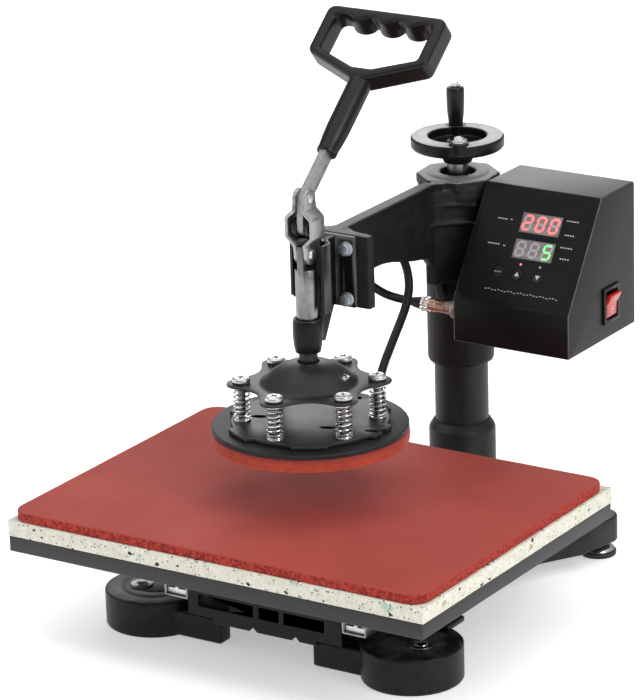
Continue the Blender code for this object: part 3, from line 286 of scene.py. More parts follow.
def foam_pattern(tree, place, colour):
    """Pressed foam crumbs: pale with dark, tan, green and blue bits and small pits."""
    for scale, share, size, chip, stretch in ((48.0, 0.35, 0.22, (0.50, 0.62, 0.53), 2.0),
            (62.0, 0.18, 0.12, (0.50, 0.42, 0.28), 1.8), (85.0, 0.26, 0.06, (0.14, 0.38, 0.36), 1.6),
            (110.0, 0.38, 0.12, (0.012, 0.02, 0.035), 1.5), (190.0, 0.42, 0.12, (0.02, 0.04, 0.05), 1.4),
            (330.0, 0.42, 0.10, (0.03, 0.04, 0.08), 1.0)):
        colour = specks(tree, place, colour, scale, share, size, chip, stretch)
    pits = node(tree, "TexVoronoi", {"Vector": place, "Scale": 420.0}).outputs["Distance"]
    return colour, remap(tree, pits, 0.0, 0.5, 0.0, 0.25)


def silicone_pattern(tree, place, colour):
    """A faint woven print in the surface."""
    weave = node(tree, "TexWave", {"Vector": place, "Scale": 300.0, "Distortion": 0.6}).outputs["Fac"]
    cross = node(tree, "TexWave", {"Vector": place, "Scale": 300.0, "Distortion": 0.6},
        bands_direction="Y").outputs["Fac"]
    pores = node(tree, "TexNoise", {"Vector": place, "Scale": 420.0, "Detail": 3.0}).outputs[0]
    # The sides of the sheet are painted darker and redder: partly the cut's open pores, partly painted shade.
    cut_side_and_shade = blended(tree, remap(tree, pores, 0.4, 0.62), (0.46, 0.045, 0.030), (0.20, 0.016, 0.012))
    colour = blended(tree, remap(tree, level_of(tree), 0.75, 0.45), colour, cut_side_and_shade)
    print_relief = maths(tree, "MULTIPLY", maths(tree, "MULTIPLY", weave, cross), 0.05)
    return colour, maths(tree, "MULTIPLY_ADD", pores, 0.15, print_relief)


def disc_pattern(tree, place, colour):
    """The disc's side: painted shade above, darker and mottled, and a painted highlight below, a paler line
    along its bottom edge.
    """
    height = node(tree, "SeparateXYZ", {"Vector": place}).outputs["Z"]
    pores = node(tree, "TexNoise", {"Vector": place, "Scale": 300.0, "Detail": 3.0}).outputs[0]
    level = maths(tree, "MULTIPLY_ADD", pores, 0.003, height)
    # Painted shade: the upper part of the side is darker.
    colour = blended(tree, remap(tree, level, 0.1655, 0.1705), colour, (0.22, 0.020, 0.014))
    # Painted highlight: a paler line along the bottom edge.
    colour = blended(tree, remap(tree, level, 0.1625, 0.1605), colour, (0.62, 0.12, 0.05))
    return colour, maths(tree, "MULTIPLY", pores, 0.1)


def rings_about(x, y, spacing):
    """Fine pale rings round a vertical axis, on the faces that look up; x is taken on both sides of the
    machine. On the rim face they are turned lines; on the hub top they are partly a painted highlight, and on
    the tops of the front feet they are a painted reflection.
    """
    def pattern(tree, place, colour):
        parts = node(tree, "SeparateXYZ", {"Vector": place})
        across = maths(tree, "SUBTRACT", maths(tree, "ABSOLUTE", parts.outputs["X"]), x * MM)
        along = maths(tree, "SUBTRACT", parts.outputs["Y"], y * MM)
        squares = maths(tree, "MULTIPLY_ADD", across, across, maths(tree, "MULTIPLY", along, along))
        radius = maths(tree, "SQRT", squares)
        line = maths(tree, "SINE", maths(tree, "MULTIPLY", radius, 2 * math.pi / (spacing * MM)))
        patch = node(tree, "TexNoise", {"Vector": place, "Scale": 55.0, "Detail": 3.0}).outputs[0]
        amount = maths(tree, "MULTIPLY", remap(tree, patch, 0.42, 0.6), remap(tree, line, -1.0, 1.0, 0.12,
            0.5))
        top = remap(tree, level_of(tree, "True Normal"), 0.7, 0.95)
        amount = maths(tree, "MULTIPLY", amount, top)
        return blended(tree, amount, colour, grey(0.25)), maths(tree, "MULTIPLY", line, 0.02)
    return pattern


def make_materials():
    black = (0.009, 0.009, 0.0095)
    stuff = {
        "black_paint": finish(black, 0.38, tint=(0.013, 0.013, 0.0135), grain=(0.03, 1400.0), wear_and_highlight=0.35,
            specular=0.22, upward=0.03),
        "leg_paint": finish((0.008, 0.008, 0.0085), 0.36, tint=grey(0.016), mottle=70.0, grain=(0.04, 1100.0),
            wear_and_highlight=0.4, specular=0.22, upward=0.035),
        "column_paint": finish((0.013, 0.013, 0.0135), 0.40, tint=(0.017, 0.017, 0.0175),
            grain=(0.03, 1700.0), stretch=(1, 1, 0.5), wear_and_highlight=0.3, specular=0.32),
        "tray_paint": finish((0.025, 0.025, 0.026), 0.42, tint=(0.030, 0.030, 0.031), grain=(0.03, 1500.0),
            wear_and_highlight=0.25, edge=0.6, specular=0.4),
        "cast_paint": finish((0.009, 0.009, 0.0095), 0.44, tint=(0.014, 0.014, 0.0145), mottle=90.0,
            grain=(0.10, 600.0), specular=0.22, upward=0.12),
        "hub_bare_and_highlit": finish((0.24, 0.24, 0.242), 0.40, tint=(0.32, 0.32, 0.322), mottle=60.0,
            grain=(0.06, 700.0), pattern=rings_about(0.0, COLUMN_Y, 3.0)),
        "bracket_paint": finish(grey(0.004), 0.26, tint=grey(0.007), grain=(0.03, 1000.0), wear_and_highlight=0.7,
            specular=0.16, coat=0.05),
        "head_paint": finish((0.016, 0.016, 0.0165), 0.32, tint=(0.022, 0.022, 0.0225), grain=(0.02, 1800.0),
            wear_and_highlight=0.8, specular=0.28, upward=0.022),
        "heater_paint": finish((0.009, 0.009, 0.0095), 0.42, tint=(0.012, 0.012, 0.0125),
            grain=(0.02, 1800.0), wear_and_highlight=0.8, specular=0.25),
        "moulding": finish(grey(0.005), 0.27, tint=grey(0.008), grain=(0.03, 1600.0), specular=0.3,
            wear_and_highlight=0.15),
        "shell": finish((0.0055, 0.0055, 0.006), 0.30, tint=(0.008, 0.008, 0.0085), mottle=25.0,
            grain=(0.03, 2200.0), wear_and_highlight=0.8, specular=0.2, upward=0.02),
        "shell_edge_highlight": finish((0.070, 0.070, 0.071), 0.32, tint=(0.045, 0.045, 0.046), mottle=60.0,
            grain=(0.03, 2200.0), specular=0.4),
        "film": finish((0.0055, 0.0055, 0.006), 0.32, tint=(0.0075, 0.0075, 0.008), mottle=20.0,
            grain=(0.01, 2500.0), specular=0.18),
        # The pale rings on the tops of the front feet are a painted reflection.
        "foot_rubber": finish(grey(0.006), 0.36, tint=grey(0.012), mottle=120.0, grain=(0.05, 900.0),
            stretch=(1, 1, 6), wear_and_highlight=0.2, specular=0.22, pattern=rings_about(*FRONT_FOOT, 1.3)),
        "rubber": finish(grey(0.008), 0.5, tint=grey(0.012), grain=(0.05, 1500.0)),
        "cable": finish(grey(0.006), 0.36, tint=grey(0.010), mottle=150.0, grain=(0.04, 1800.0), edge=0.0,
            specular=0.25),
        "zinc": finish((0.34, 0.35, 0.36), 0.30, 1.0, tint=(0.45, 0.46, 0.47), mottle=160.0, spread=0.2,
            grain=(0.04, 900.0)),
        "bar_steel": finish((0.33, 0.34, 0.35), 0.42, 1.0, tint=(0.42, 0.43, 0.44), mottle=200.0, spread=0.2,
            grain=(0.05, 1200.0)),
        "bolt_zinc": finish((0.42, 0.47, 0.54), 0.36, 1.0, tint=(0.55, 0.60, 0.66), mottle=250.0, spread=0.25,
            grain=(0.05, 1500.0), edge=0.5),
        "steel": finish(grey(0.19), 0.20, 1.0, tint=grey(0.28), mottle=120.0, spread=0.16,
            grain=(0.02, 1500.0), stretch=(1, 1, 8), edge=0.3),
        "chrome": finish(grey(0.72), 0.14, 1.0, tint=grey(0.8), mottle=200.0, spread=0.1,
            grain=(0.008, 1500.0), edge=0.25),
        "screw": finish((0.62, 0.62, 0.61), 0.24, 1.0, tint=(0.7, 0.7, 0.69), mottle=260.0, spread=0.2,
            grain=(0.03, 1200.0), edge=0.3),
        "turned_alloy": finish((0.30, 0.30, 0.305), 0.38, 0.55, tint=(0.38, 0.38, 0.385), mottle=60.0,
            spread=0.1, grain=(0.01, 1500.0), edge=0.4, pattern=rings_about(0.0, COLUMN_Y, 0.7)),
        "copper": finish((0.55, 0.30, 0.20), 0.26, 1.0, tint=(0.62, 0.42, 0.33), mottle=220.0, spread=0.15,
            grain=(0.01, 2000.0), edge=0.3),
        "flange": finish((0.42, 0.38, 0.33), 0.38, 0.9, tint=(0.5, 0.46, 0.42), mottle=200.0,
            grain=(0.02, 1500.0)),
        "brass": finish((0.52, 0.38, 0.18), 0.34, 1.0, tint=(0.45, 0.33, 0.16), grain=(0.01, 1500.0)),
        "foam": finish((0.70, 0.68, 0.57), 0.9, tint=(0.78, 0.77, 0.67), mottle=130.0, grain=(0.12, 700.0),
            edge=0.6, specular=0.2, pattern=foam_pattern),
        "silicone": finish((0.40, 0.066, 0.050), 0.62, tint=(0.36, 0.060, 0.046), mottle=22.0, spread=0.12,
            grain=(0.05, 900.0), edge=0.8, specular=0.2, pattern=silicone_pattern),
        "disc_silicone": finish((0.48, 0.062, 0.028), 0.55, tint=(0.36, 0.04, 0.022), mottle=90.0,
            grain=(0.05, 900.0), edge=0.8, specular=0.35, pattern=disc_pattern),
        "red_plastic": finish((0.55, 0.008, 0.010), 0.22, tint=(0.48, 0.006, 0.008), mottle=90.0,
            grain=(0.006, 1500.0), coat=0.4),
        "print": finish(grey(0.62), 0.6, tint=grey(0.5), mottle=900.0, grain=(0.01, 3000.0), edge=0.0),
        "glass": finish((0.19, 0.165, 0.165), 0.3, tint=(0.22, 0.19, 0.19), mottle=60.0,
            grain=(0.004, 1500.0), edge=0.0, coat=0.3),
        "dim_segment": finish((0.40, 0.38, 0.38), 0.45, tint=(0.45, 0.43, 0.43), mottle=300.0,
            grain=(0.004, 1500.0), edge=0.0),
        "red_segment": finish((0.8, 0.15, 0.15), 0.4, tint=(0.9, 0.2, 0.2), mottle=300.0,
            grain=(0.004, 1500.0), edge=0.0, glow=((1.0, 0.20, 0.22), 0.75)),
        "green_segment": finish((0.2, 0.7, 0.25), 0.4, tint=(0.25, 0.75, 0.3), mottle=300.0,
            grain=(0.004, 1500.0), edge=0.0, glow=((0.25, 0.85, 0.30), 0.55)),
        "board": finish((0.02, 0.14, 0.05), 0.4, tint=(0.03, 0.18, 0.07), mottle=300.0, grain=(0.02, 900.0)),
        "floor_paper": finish(grey(0.92), 0.9, tint=grey(0.9), mottle=3.0, grain=(0.02, 800.0), edge=0.0,
            glow=(grey(1.0), 0.42)),
    }
    for name, material in stuff.items():
        material.name = name
    return stuff


# ---------------------------------------------------------------------------------------------------------
# Shapes. Each maker returns a bmesh in millimetres, and piece() turns it into an object


def ring(radius, height, count=64, start=0.0):
    if radius < 0.0001:
        return [(0.0, 0.0, height)]
    turns = [start + 2 * math.pi * i / count for i in range(count)]
    return [(radius * math.cos(t), radius * math.sin(t), height) for t in turns]


def skin(rows, closed=False):
    """A closed surface over rows of points. The end rows are capped, or joined to each other if closed."""
    bm = bmesh.new()
    made = [[bm.verts.new(p) for p in row] for row in rows]
    pairs = list(zip(made, made[1:]))
    if closed:
        pairs.append((made[-1], made[0]))
    for low, high in pairs:
        count = max(len(low), len(high))
        for i in range(count):
            j = (i + 1) % count
            corners = (low[i % len(low)], low[j % len(low)], high[j % len(high)], high[i % len(high)])
            corners = list(dict.fromkeys(corners))
            if len(corners) > 2:
                bm.faces.new(corners)
    if not closed:
        for row in (made[0], made[-1]):
            if len(row) > 2:
                bm.faces.new(row)
    bmesh.ops.recalc_face_normals(bm, faces=bm.faces)
    return bm


def turned(profile, count=64, closed=False):
    """A profile of (radius, height) points, spun about Z."""
    return skin([ring(r, h, count) for r, h in profile], closed)


def rod(radius, low, high, count=24):
    return turned([(0, low), (radius, low), (radius, high), (0, high)], count)


def polygon(radius, sides):
    return [(x, y) for x, y, _ in ring(radius, 0.0, sides)]


def around_head(i):
    """The angle and the place of head screw i, from the axis of the heater."""
    angle = SCREW_TURN + i * math.pi / 3
    return angle, SCREW_CIRCLE_R * math.cos(angle), SCREW_CIRCLE_R * math.sin(angle)


def rounded(corners, radii, steps=4, closed=True):
    """A line of straight sides whose corners are rounded by the radii."""
    outline = []
    count = len(corners)
    for i, corner in enumerate(corners):
        radius = radii[i] if isinstance(radii, (list, tuple)) else radii
        here = Vector(corner)
        if radius <= 0 or (not closed and i in (0, count - 1)):
            outline.append(tuple(here))
            continue
        before = (Vector(corners[i - 1]) - here).normalized()
        after = (Vector(corners[(i + 1) % count]) - here).normalized()
        half = before.angle(after) / 2
        if half > math.radians(88):
            outline.append(tuple(here))
            continue
        centre = here + (before + after).normalized() * (radius / math.sin(half))
        first = here + before * (radius / math.tan(half)) - centre
        last = here + after * (radius / math.tan(half)) - centre
        sweep = first.angle_signed(last)
        for step in range(steps + 1):
            outline.append(tuple(centre + Matrix.Rotation(-sweep * step / steps, 2) @ first))
    return outline


def rectangle(low, high, radius=0.0, steps=4):
    corners = [low, (high[0], low[1]), high, (low[0], high[1])]
    return rounded(corners, radius, steps)


def inset(outline, distance):
    """The anticlockwise outline moved inwards."""
    made = []
    count = len(outline)
    for i, corner in enumerate(outline):
        here = Vector(corner)
        before = (here - Vector(outline[i - 1])).normalized()
        after = (Vector(outline[(i + 1) % count]) - here).normalized()
        inward = Vector((-before.y - after.y, before.x + after.x)).normalized()
        lean = max(0.4, inward.dot(Vector((-before.y, before.x))))
        made.append(tuple(here + inward * (distance / lean)))
    return made


def plate(outline, low, high, edge=0.5, steps=2):
    """An anticlockwise outline made into a plate between two heights, with rounded edges."""
    rows = []
    for end, way in ((low, 1), (high, -1)):
        quarter = [math.pi / 2 * i / steps for i in range(steps + 1)]
        if way < 0:
            quarter.reverse()
        for angle in quarter:
            line = inset(outline, edge * (1 - math.sin(angle)))
            height = end + way * edge * (1 - math.cos(angle))
            rows.append([(x, y, height) for x, y in line])
    return skin(rows)


def block(low, high, edge=0.5, steps=2):
    """A block between two corners with rounded edges."""
    low, high = Vector(low), Vector(high)
    bm = bmesh.new()
    size = Matrix.Diagonal((*(high - low), 1.0))
    bmesh.ops.create_cube(bm, size=1.0, matrix=Matrix.Translation((low + high) / 2) @ size)
    if edge:
        bmesh.ops.bevel(bm, geom=bm.edges[:], offset=edge, segments=steps, profile=0.5, affect="EDGES")
    return bm


def wire(points, radius, sides=10):
    """A round wire through points, with closed ends. radius may be a list, one for each point."""
    spots = [Vector(p) for p in points]
    rows = []
    side = None
    for i, spot in enumerate(spots):
        along = (spots[min(i + 1, len(spots) - 1)] - spots[max(i - 1, 0)]).normalized()
        if side is None:
            side = along.orthogonal().normalized()
        side = (side - along * side.dot(along)).normalized()
        other = along.cross(side)
        r = radius[i] if isinstance(radius, list) else radius
        turns = [2 * math.pi * k / sides for k in range(sides)]
        rows.append([spot + (side * math.cos(t) + other * math.sin(t)) * r for t in turns])
    return skin(rows)


def smooth_line(points, steps=8):
    """A smooth curve through the points."""
    spots = [Vector(p) for p in points]
    line = []
    for i in range(len(spots) - 1):
        a, b = spots[max(i - 1, 0)], spots[i]
        c, d = spots[i + 1], spots[min(i + 2, len(spots) - 1)]
        for step in range(steps):
            t = step / steps
            line.append(0.5 * (2 * b + (c - a) * t + (2 * a - 5 * b + 4 * c - d) * t * t
                + (3 * b - a - 3 * c + d) * t ** 3))
    return [*line, spots[-1]]


def moved(bm, at=(0, 0, 0), turn=None):
    bm.transform(Matrix.Translation(at) @ (turn or Matrix()))
    return bm


def merged(*shapes):
    whole = shapes[0]
    for shape in shapes[1:]:
        mesh = bpy.data.meshes.new("part")
        shape.to_mesh(mesh)
        shape.free()
        whole.from_mesh(mesh)
        bpy.data.meshes.remove(mesh)
    return whole


def loose(bm):
    """A temporary object with the shape."""
    mesh = bpy.data.meshes.new("temporary")
    bm.to_mesh(mesh)
    bm.free()
    obj = bpy.data.objects.new("temporary", mesh)
    bpy.context.scene.collection.objects.link(obj)
    return obj


def settled(obj, *helpers):
    """The object's shape with its modifiers applied, as a bmesh. The objects are removed."""
    bpy.context.view_layer.update()
    graph = bpy.context.evaluated_depsgraph_get()
    mesh = bpy.data.meshes.new_from_object(obj.evaluated_get(graph))
    bm = bmesh.new()
    bm.from_mesh(mesh)
    bpy.data.meshes.remove(mesh)
    for other in (obj, *helpers):
        data = other.data
        bpy.data.objects.remove(other)
        bpy.data.meshes.remove(data)
    return bm


def combined(bm, operation, *others):
    """The shape with the others cut away (DIFFERENCE) or joined on (UNION)."""
    obj = loose(bm)
    helpers = [loose(other) for other in others]
    for helper in helpers:
        modifier = obj.modifiers.new("carve", "BOOLEAN")
        modifier.operation = operation
        modifier.solver = "EXACT"
        modifier.object = helper
    return settled(obj, *helpers)


def carved(bm, *cutters):
    return combined(bm, "DIFFERENCE", *cutters)


def joined(bm, *others):
    return combined(bm, "UNION", *others)


def piece(name, bm, material, body=None, at=(0, 0, 0), turn=None, sharp=35.0, stands_for=()):
    mesh = bpy.data.meshes.new(name)
    bm.transform(Matrix.Scale(MM, 4) @ Matrix.Translation(at) @ (turn or Matrix()))
    bm.to_mesh(mesh)
    bm.free()
    mesh.shade_smooth()
    mesh.set_sharp_from_angle(angle=math.radians(sharp))
    mesh.materials.append(STUFF[material])
    obj = bpy.data.objects.new(name, mesh)
    bpy.context.scene.collection.objects.link(obj)
    if body:
        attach(obj, body)
    if stands_for:
        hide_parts(*stands_for)
    return obj


def body_of(name):
    return next(b for b, nodes in frame["record"]["behaviour"]["bodies"].items() if name in nodes)


def cad_shape(name):
    """A welded copy of a CAD node's mesh, in millimetres, with its flat faces whole."""
    bm = bmesh.new()
    bm.from_mesh(frame["nodes"][name].data)
    bm.transform(Matrix.Scale(1 / MM, 4))
    bmesh.ops.remove_doubles(bm, verts=bm.verts, dist=0.002)
    bmesh.ops.dissolve_limit(bm, angle_limit=math.radians(0.6), verts=bm.verts, edges=bm.edges)
    return bm


def eased(name, material, width=0.6, steps=2, holes=()):
    """A piece in place of a CAD node, of the same shape, with its sharp edges rounded."""
    obj = loose(carved(cad_shape(name), *holes) if holes else cad_shape(name))
    bevel = obj.modifiers.new("edges", "BEVEL")
    bevel.width = width
    bevel.segments = steps
    bevel.limit_method = "ANGLE"
    bevel.angle_limit = math.radians(38)
    bevel.miter_outer = "MITER_ARC"
    return piece(f"{name}_body", settled(obj), material, body_of(name), stands_for=[name])


def cast(name, material, voxel=1.3, rounds=5, extra=()):
    """A piece in place of a CAD node, with the soft edges and fillets of a casting."""
    obj = loose(merged(cad_shape(name), *extra))
    remesh = obj.modifiers.new("voxels", "REMESH")
    remesh.mode = "VOXEL"
    remesh.voxel_size = voxel
    smooth = obj.modifiers.new("fillets", "SMOOTH")
    smooth.factor = 0.5
    smooth.iterations = rounds
    return piece(f"{name}_body", settled(obj), material, body_of(name), sharp=180.0, stands_for=[name])


def repaint(name, material):
    data = frame["nodes"][name].data
    data.materials.clear()
    data.materials.append(STUFF[material])


# ---------------------------------------------------------------------------------------------------------
# The pieces


def make_cable():
    steps = 8  # points to each stretch of the route
    path = smooth_line(CABLE_ROUTE, steps)
    cable = piece("heater_cable_sleeve", wire(path, CABLE_R, 20), "cable", stands_for=["heater_cable"])
    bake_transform(cable)


def slab_outline(half_x, half_y, radius, middle_y, spacing=9.0):
    """A rounded rectangle with points along its sides, anticlockwise."""
    corners = rectangle((-half_x, -half_y), (half_x, half_y), radius, 6)
    outline = []
    for i, here in enumerate(corners):
        after = corners[(i + 1) % len(corners)]
        parts = max(1, round(math.dist(here, after) / spacing)) if math.dist(here, after) > 40 else 1
        for k in range(parts):
            t = k / parts
            outline.append((here[0] + (after[0] - here[0]) * t, middle_y + here[1]
                + (after[1] - here[1]) * t))
    return outline


def make_slab(size, middle_y, low, high, radius, edge, crown, wobble):
    """A soft slab: rounded edges, cut sides that waver a little and a top that swells towards the middle."""
    half_x, half_y = size[0] / 2 - wobble, size[1] / 2 - wobble
    outline = slab_outline(half_x, half_y, radius, middle_y)
    rows = []
    levels = [(0.5, low), (0.15, low + 0.25), (0.0, low + 0.8)]
    levels += [(0.0, low + 0.8 + (high - low - 0.8 - edge) * t) for t in (0.33, 0.66, 1.0)]
    levels += [(edge * (1 - math.cos(a)), high - edge * (1 - math.sin(a))) for a in (0.5, 1.0, math.pi / 2)]
    levels += [(edge + 4, high + crown * 0.12), (edge + 16, high + crown * 0.4),
        (edge + 45, high + crown * 0.8), (edge + 90, high + crown)]
    for distance, height in levels:
        line = inset(outline, distance) if distance < 6 else [(x * (1 - distance / half_x),
            middle_y + (y - middle_y) * (1 - distance / half_y)) for x, y in outline]
        row = []
        for x, y in line:
            drift = noise.noise(Vector((x * 0.035, y * 0.035, height * 0.25)))
            out = Vector((x, y - middle_y)).normalized() * drift * wobble * 1.6
            row.append((x + out.x, y + out.y, height + (drift * wobble * 0.3 if distance else 0.0)))
        rows.append(row)
    return skin(rows)


def make_platen():
    mat_low, mat_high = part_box("silicone_mat")
    foam_low, foam_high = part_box("foam_pad")
    size = [c / MM for c in foam_high - foam_low]
    foam = piece("foam_slab", make_slab(size, PLATEN_Y, foam_low.z / MM, foam_high.z / MM, 1.6, 0.7, 0.0,
        0.35), "foam", "platen", stands_for=["foam_pad"])
    size = [c / MM for c in mat_high - mat_low]
    middle = (mat_low.y + mat_high.y) / 2 / MM
    mat = piece("silicone_sheet", make_slab(size, middle, mat_low.z / MM, mat_high.z / MM - 0.2, 15.0, 0.9,
        0.35, 0.2), "silicone", "platen", stands_for=["silicone_mat"])
    eased("platen_tray", "tray_paint", 1.2, 3)
    for hand in ("left", "right"):
        eased(f"slide_{hand}", "screw", 0.3)


def make_base():
    for side, hand in ((-1, "left"), (1, "right")):
        eased(f"leg_{hand}", "leg_paint", 1.6, 3)
        eased(f"rail_{hand}", "zinc", 0.3)
        make_front_foot(side, hand)
        make_rear_foot(side, hand)
    eased("cross_channel", "black_paint", 0.35)
    repaint("rear_beam", "leg_paint")
    eased("column_socket", "column_paint", 0.6)
    eased("column_post", "column_paint", 0.6)


def make_front_foot(side, hand):
    """A thick moulded puck with a block beside it, held by a slotted screw on a washer."""
    x, y, top, radius = side * FRONT_FOOT[0], FRONT_FOOT[1], 29.5, 40.2
    profile = rounded([(0, top), (radius, top), (radius, 0), (0, 0)], [0, 1.6, 2.2, 0], 4, closed=False)
    groove = [(r, top - (0.22 if r in (15.0, 26.0) else 0.0)) for r in (14.4, 15.0, 15.6, 25.4, 26.0, 26.6)]
    puck = moved(turned([profile[0], *groove, *profile[1:]], 96), (x, y, 0))
    low = (min(side * 43.0, side * 90.0), -134.4, 1.5)
    high = (max(side * 43.0, side * 90.0), -119.4, 23.0)
    piece(f"front_foot_{hand}_puck", joined(puck, block(low, high, 2.2, 3)), "foot_rubber", "base",
        stands_for=[f"front_foot_{hand}"])
    at = (side * 130.8, y - 3.5, top)
    washer = turned(rounded([(0, 1.4), (9.4, 1.2), (9.6, -0.6), (0, -0.6)], [0, 0.5, 0, 0], 3, closed=False),
        40)
    head = turned([(0, 2.7), (2.0, 2.6), (4.2, 2.1), (5.2, 1.4), (5.4, 0.9), (0, 0.9)], 32)
    slot = block((-6.5, -0.7, 1.7), (6.5, 0.7, 4.0), 0)
    head = carved(head, moved(slot, turn=Matrix.Rotation(0.5, 4, "Z")))
    piece(f"foot_washer_{hand}", washer, "steel", "base", at=at)
    piece(f"foot_screw_{hand}", head, "chrome", "base", at=(at[0], at[1], at[2] + 0.35))


def make_rear_foot(side, hand):
    """A levelling foot: rubber base, pressed dome washer, nut and threaded stud."""
    body = f"rear_foot_{hand}"
    at = (side * 120.4, 183.7, 0)
    base = turned(rounded([(0, 5.0), (13.0, 5.0), (14.9, 4.4), (14.9, 0), (0, 0)], [0, 0, 0.8, 1.0, 0], 3,
        closed=False), 56)
    dome = turned([(4.2, 9.6), (7.6, 9.4), (10.6, 8.5), (13.2, 6.4), (14.0, 5.3), (13.6, 4.9), (10.2, 7.6),
        (4.2, 8.8)], 56, closed=True)
    nut = plate(polygon(7.5, 6), 9.3, 12.8, 0.5)
    thread = [(0, 44.0), (3.0, 44.0)]
    for k in range(24):
        z = 43.4 - k * 1.3
        thread += [(3.95, z), (3.45, z - 0.65)]
    thread += [(3.4, 9.0), (0, 9.0)]
    piece(f"{body}_base", base, "rubber", body, at=at, stands_for=[body])
    piece(f"{body}_washer", dome, "chrome", body, at=at)
    piece(f"{body}_nut", nut, "black_paint", body, at=at)
    piece(f"{body}_stud", turned(thread, 28), "steel", body, at=at)


def make_arm():
    """The casting, with a raised lip round the hub and along the web, and faint ribs by the sleeve."""
    hub = turned([(14.6, 317.0), (14.6, 318.0), (19.0, 318.2), (24.0, 317.9), (26.0, 316.6), (26.0, 314.0),
        (14.6, 314.0)], 64, closed=True)
    ribs = []
    for height, reach in ((296.0, 30.0), (281.0, 36.0)):
        line = [(-4.0 - 24.0 * t, COLUMN_Y - 14.0 - reach * (1 - t) ** 1.4 - 3 * t, height + 4.0 * (1 - t))
            for t in (0.0, 0.2, 0.4, 0.6, 0.8, 1.0)]
        for side in (-1, 1):
            ribs.append(wire([(side * x, y, z) for x, y, z in line], 1.5, 10))
    lip = block((-6.6, -24.0, 316.4), (6.6, 117.0, 319.4), 0.8)
    arm = cast("arm_casting", "cast_paint", 1.15, 3, [moved(hub, (0, COLUMN_Y, 0)), lip, *ribs])
    # The top of the hub is painted pale grey: bare machined metal, and partly a painted highlight of the
    # light falling on it.
    arm.data.materials.append(STUFF["hub_bare_and_highlit"])
    for face in arm.data.polygons:
        reach = math.hypot(face.center.x, face.center.y - COLUMN_Y * MM)
        top = face.center.z > HUB_TOP_Z * MM and face.normal.z > 0.6
        if top and HUB_BARE[0] * MM < reach < HUB_BARE[1] * MM:
            face.material_index = 1
    repaint("swing_bush", "brass")
    eased("box_mount", "cast_paint", 2.0, 3)


def make_toggle():
    eased("toggle_bracket", "bracket_paint", 0.7, 3)
    eased("guide_bush", "bracket_paint", 0.8, 3)
    for number in range(1, 5):
        eased(f"bracket_bolt_{number}", "bolt_zinc", 0.5, 3)
    eased("fulcrum_pin", "bracket_paint", 0.4)
    eased("link_pin", "zinc", 0.4)
    eased("lever_bar", "bar_steel", 0.9, 3)
    for side, hand in ((-1, "left"), (1, "right")):
        make_link_plate(side, hand)
    make_grip()


def make_link_plate(side, hand):
    """A bent strip with round ends, bowed out round the fulcrum, with a rivet at each end."""
    thick, top, bottom = 3.0, 363.8, 303.2
    bends = [(5.95, top), (5.95, 347.0), (12.9, 341.0), (12.9, 326.3), (5.95, 319.5), (5.95, bottom)]
    middle = [(x - thick / 2, z) for x, z in bends]
    line = rounded(middle, [0, 2.6, 2.4, 2.4, 2.6, 0], 5, closed=False)
    dense = []
    for a, b in zip(line, line[1:]):
        parts = max(1, round(math.dist(a, b) / 1.2))
        dense += [(a[0] + (b[0] - a[0]) * k / parts, a[1] + (b[1] - a[1]) * k / parts) for k in range(parts)]
    dense.append(line[-1])
    end, middle_half = 7.8, 9.0  # half the width at the round ends and in the middle
    rows = []
    for i, (x, z) in enumerate(dense):
        before, after = dense[max(i - 1, 0)], dense[min(i + 1, len(dense) - 1)]
        along = Vector((after[0] - before[0], after[1] - before[1])).normalized()
        across = Vector((along.y, -along.x))
        from_end = min(top - z, z - bottom)
        half = math.sqrt(max(0.3, end ** 2 - max(0.0, end - from_end) ** 2))
        wide = min(1.0, max(0.0, (from_end - 9.0) / 8.0))
        half += (middle_half - end) * wide * wide * (3 - 2 * wide)
        soft = 0.8
        section = [(-half + soft, -thick / 2), (half - soft, -thick / 2), (half - 0.2, -thick / 2 + 0.25),
            (half, -thick / 2 + soft), (half, thick / 2 - soft), (half - 0.2, thick / 2 - 0.25),
            (half - soft, thick / 2), (-half + soft, thick / 2), (-half + 0.2, thick / 2 - 0.25),
            (-half, thick / 2 - soft), (-half, -thick / 2 + soft), (-half + 0.2, -thick / 2 + 0.25)]
        rows.append([(side * (x + across.x * t), PRESS_Y + w, z + across.y * t) for w, t in section])
    piece(f"link_plate_{hand}_strip", skin(rows), "zinc", "link", stands_for=[f"link_plate_{hand}"])
    for part, height in (("lower", 311.0), ("upper", 356.0)):
        rivet = turned([(0, 1.9), (2.2, 1.8), (3.7, 1.3), (4.4, 0.5), (4.5, -0.3), (0, -0.3)], 32)
        piece(f"link_rivet_{part}_{hand}", rivet, "screw", "link", at=(side * 5.95, PRESS_Y, height),
            turn=TO_X if side > 0 else TO_MINUS_X)


def spread_corners(corners, radii, counts, steps=4):
    """An outline of rounded corners whose sides carry a given number of points."""
    outline = []
    arcs = []
    for i in range(len(corners)):
        lone = rounded([corners[i - 1], corners[i], corners[(i + 1) % len(corners)]], [0, radii[i], 0], steps,
            closed=False)[1:-1]
        arcs.append(lone)
    for i, bend in enumerate(arcs):
        outline += bend
        start, end = bend[-1], arcs[(i + 1) % len(arcs)][0]
        for k in range(1, counts[i]):
            t = k / counts[i]
            outline.append((start[0] + (end[0] - start[0]) * t, start[1] + (end[1] - start[1]) * t))
    return outline


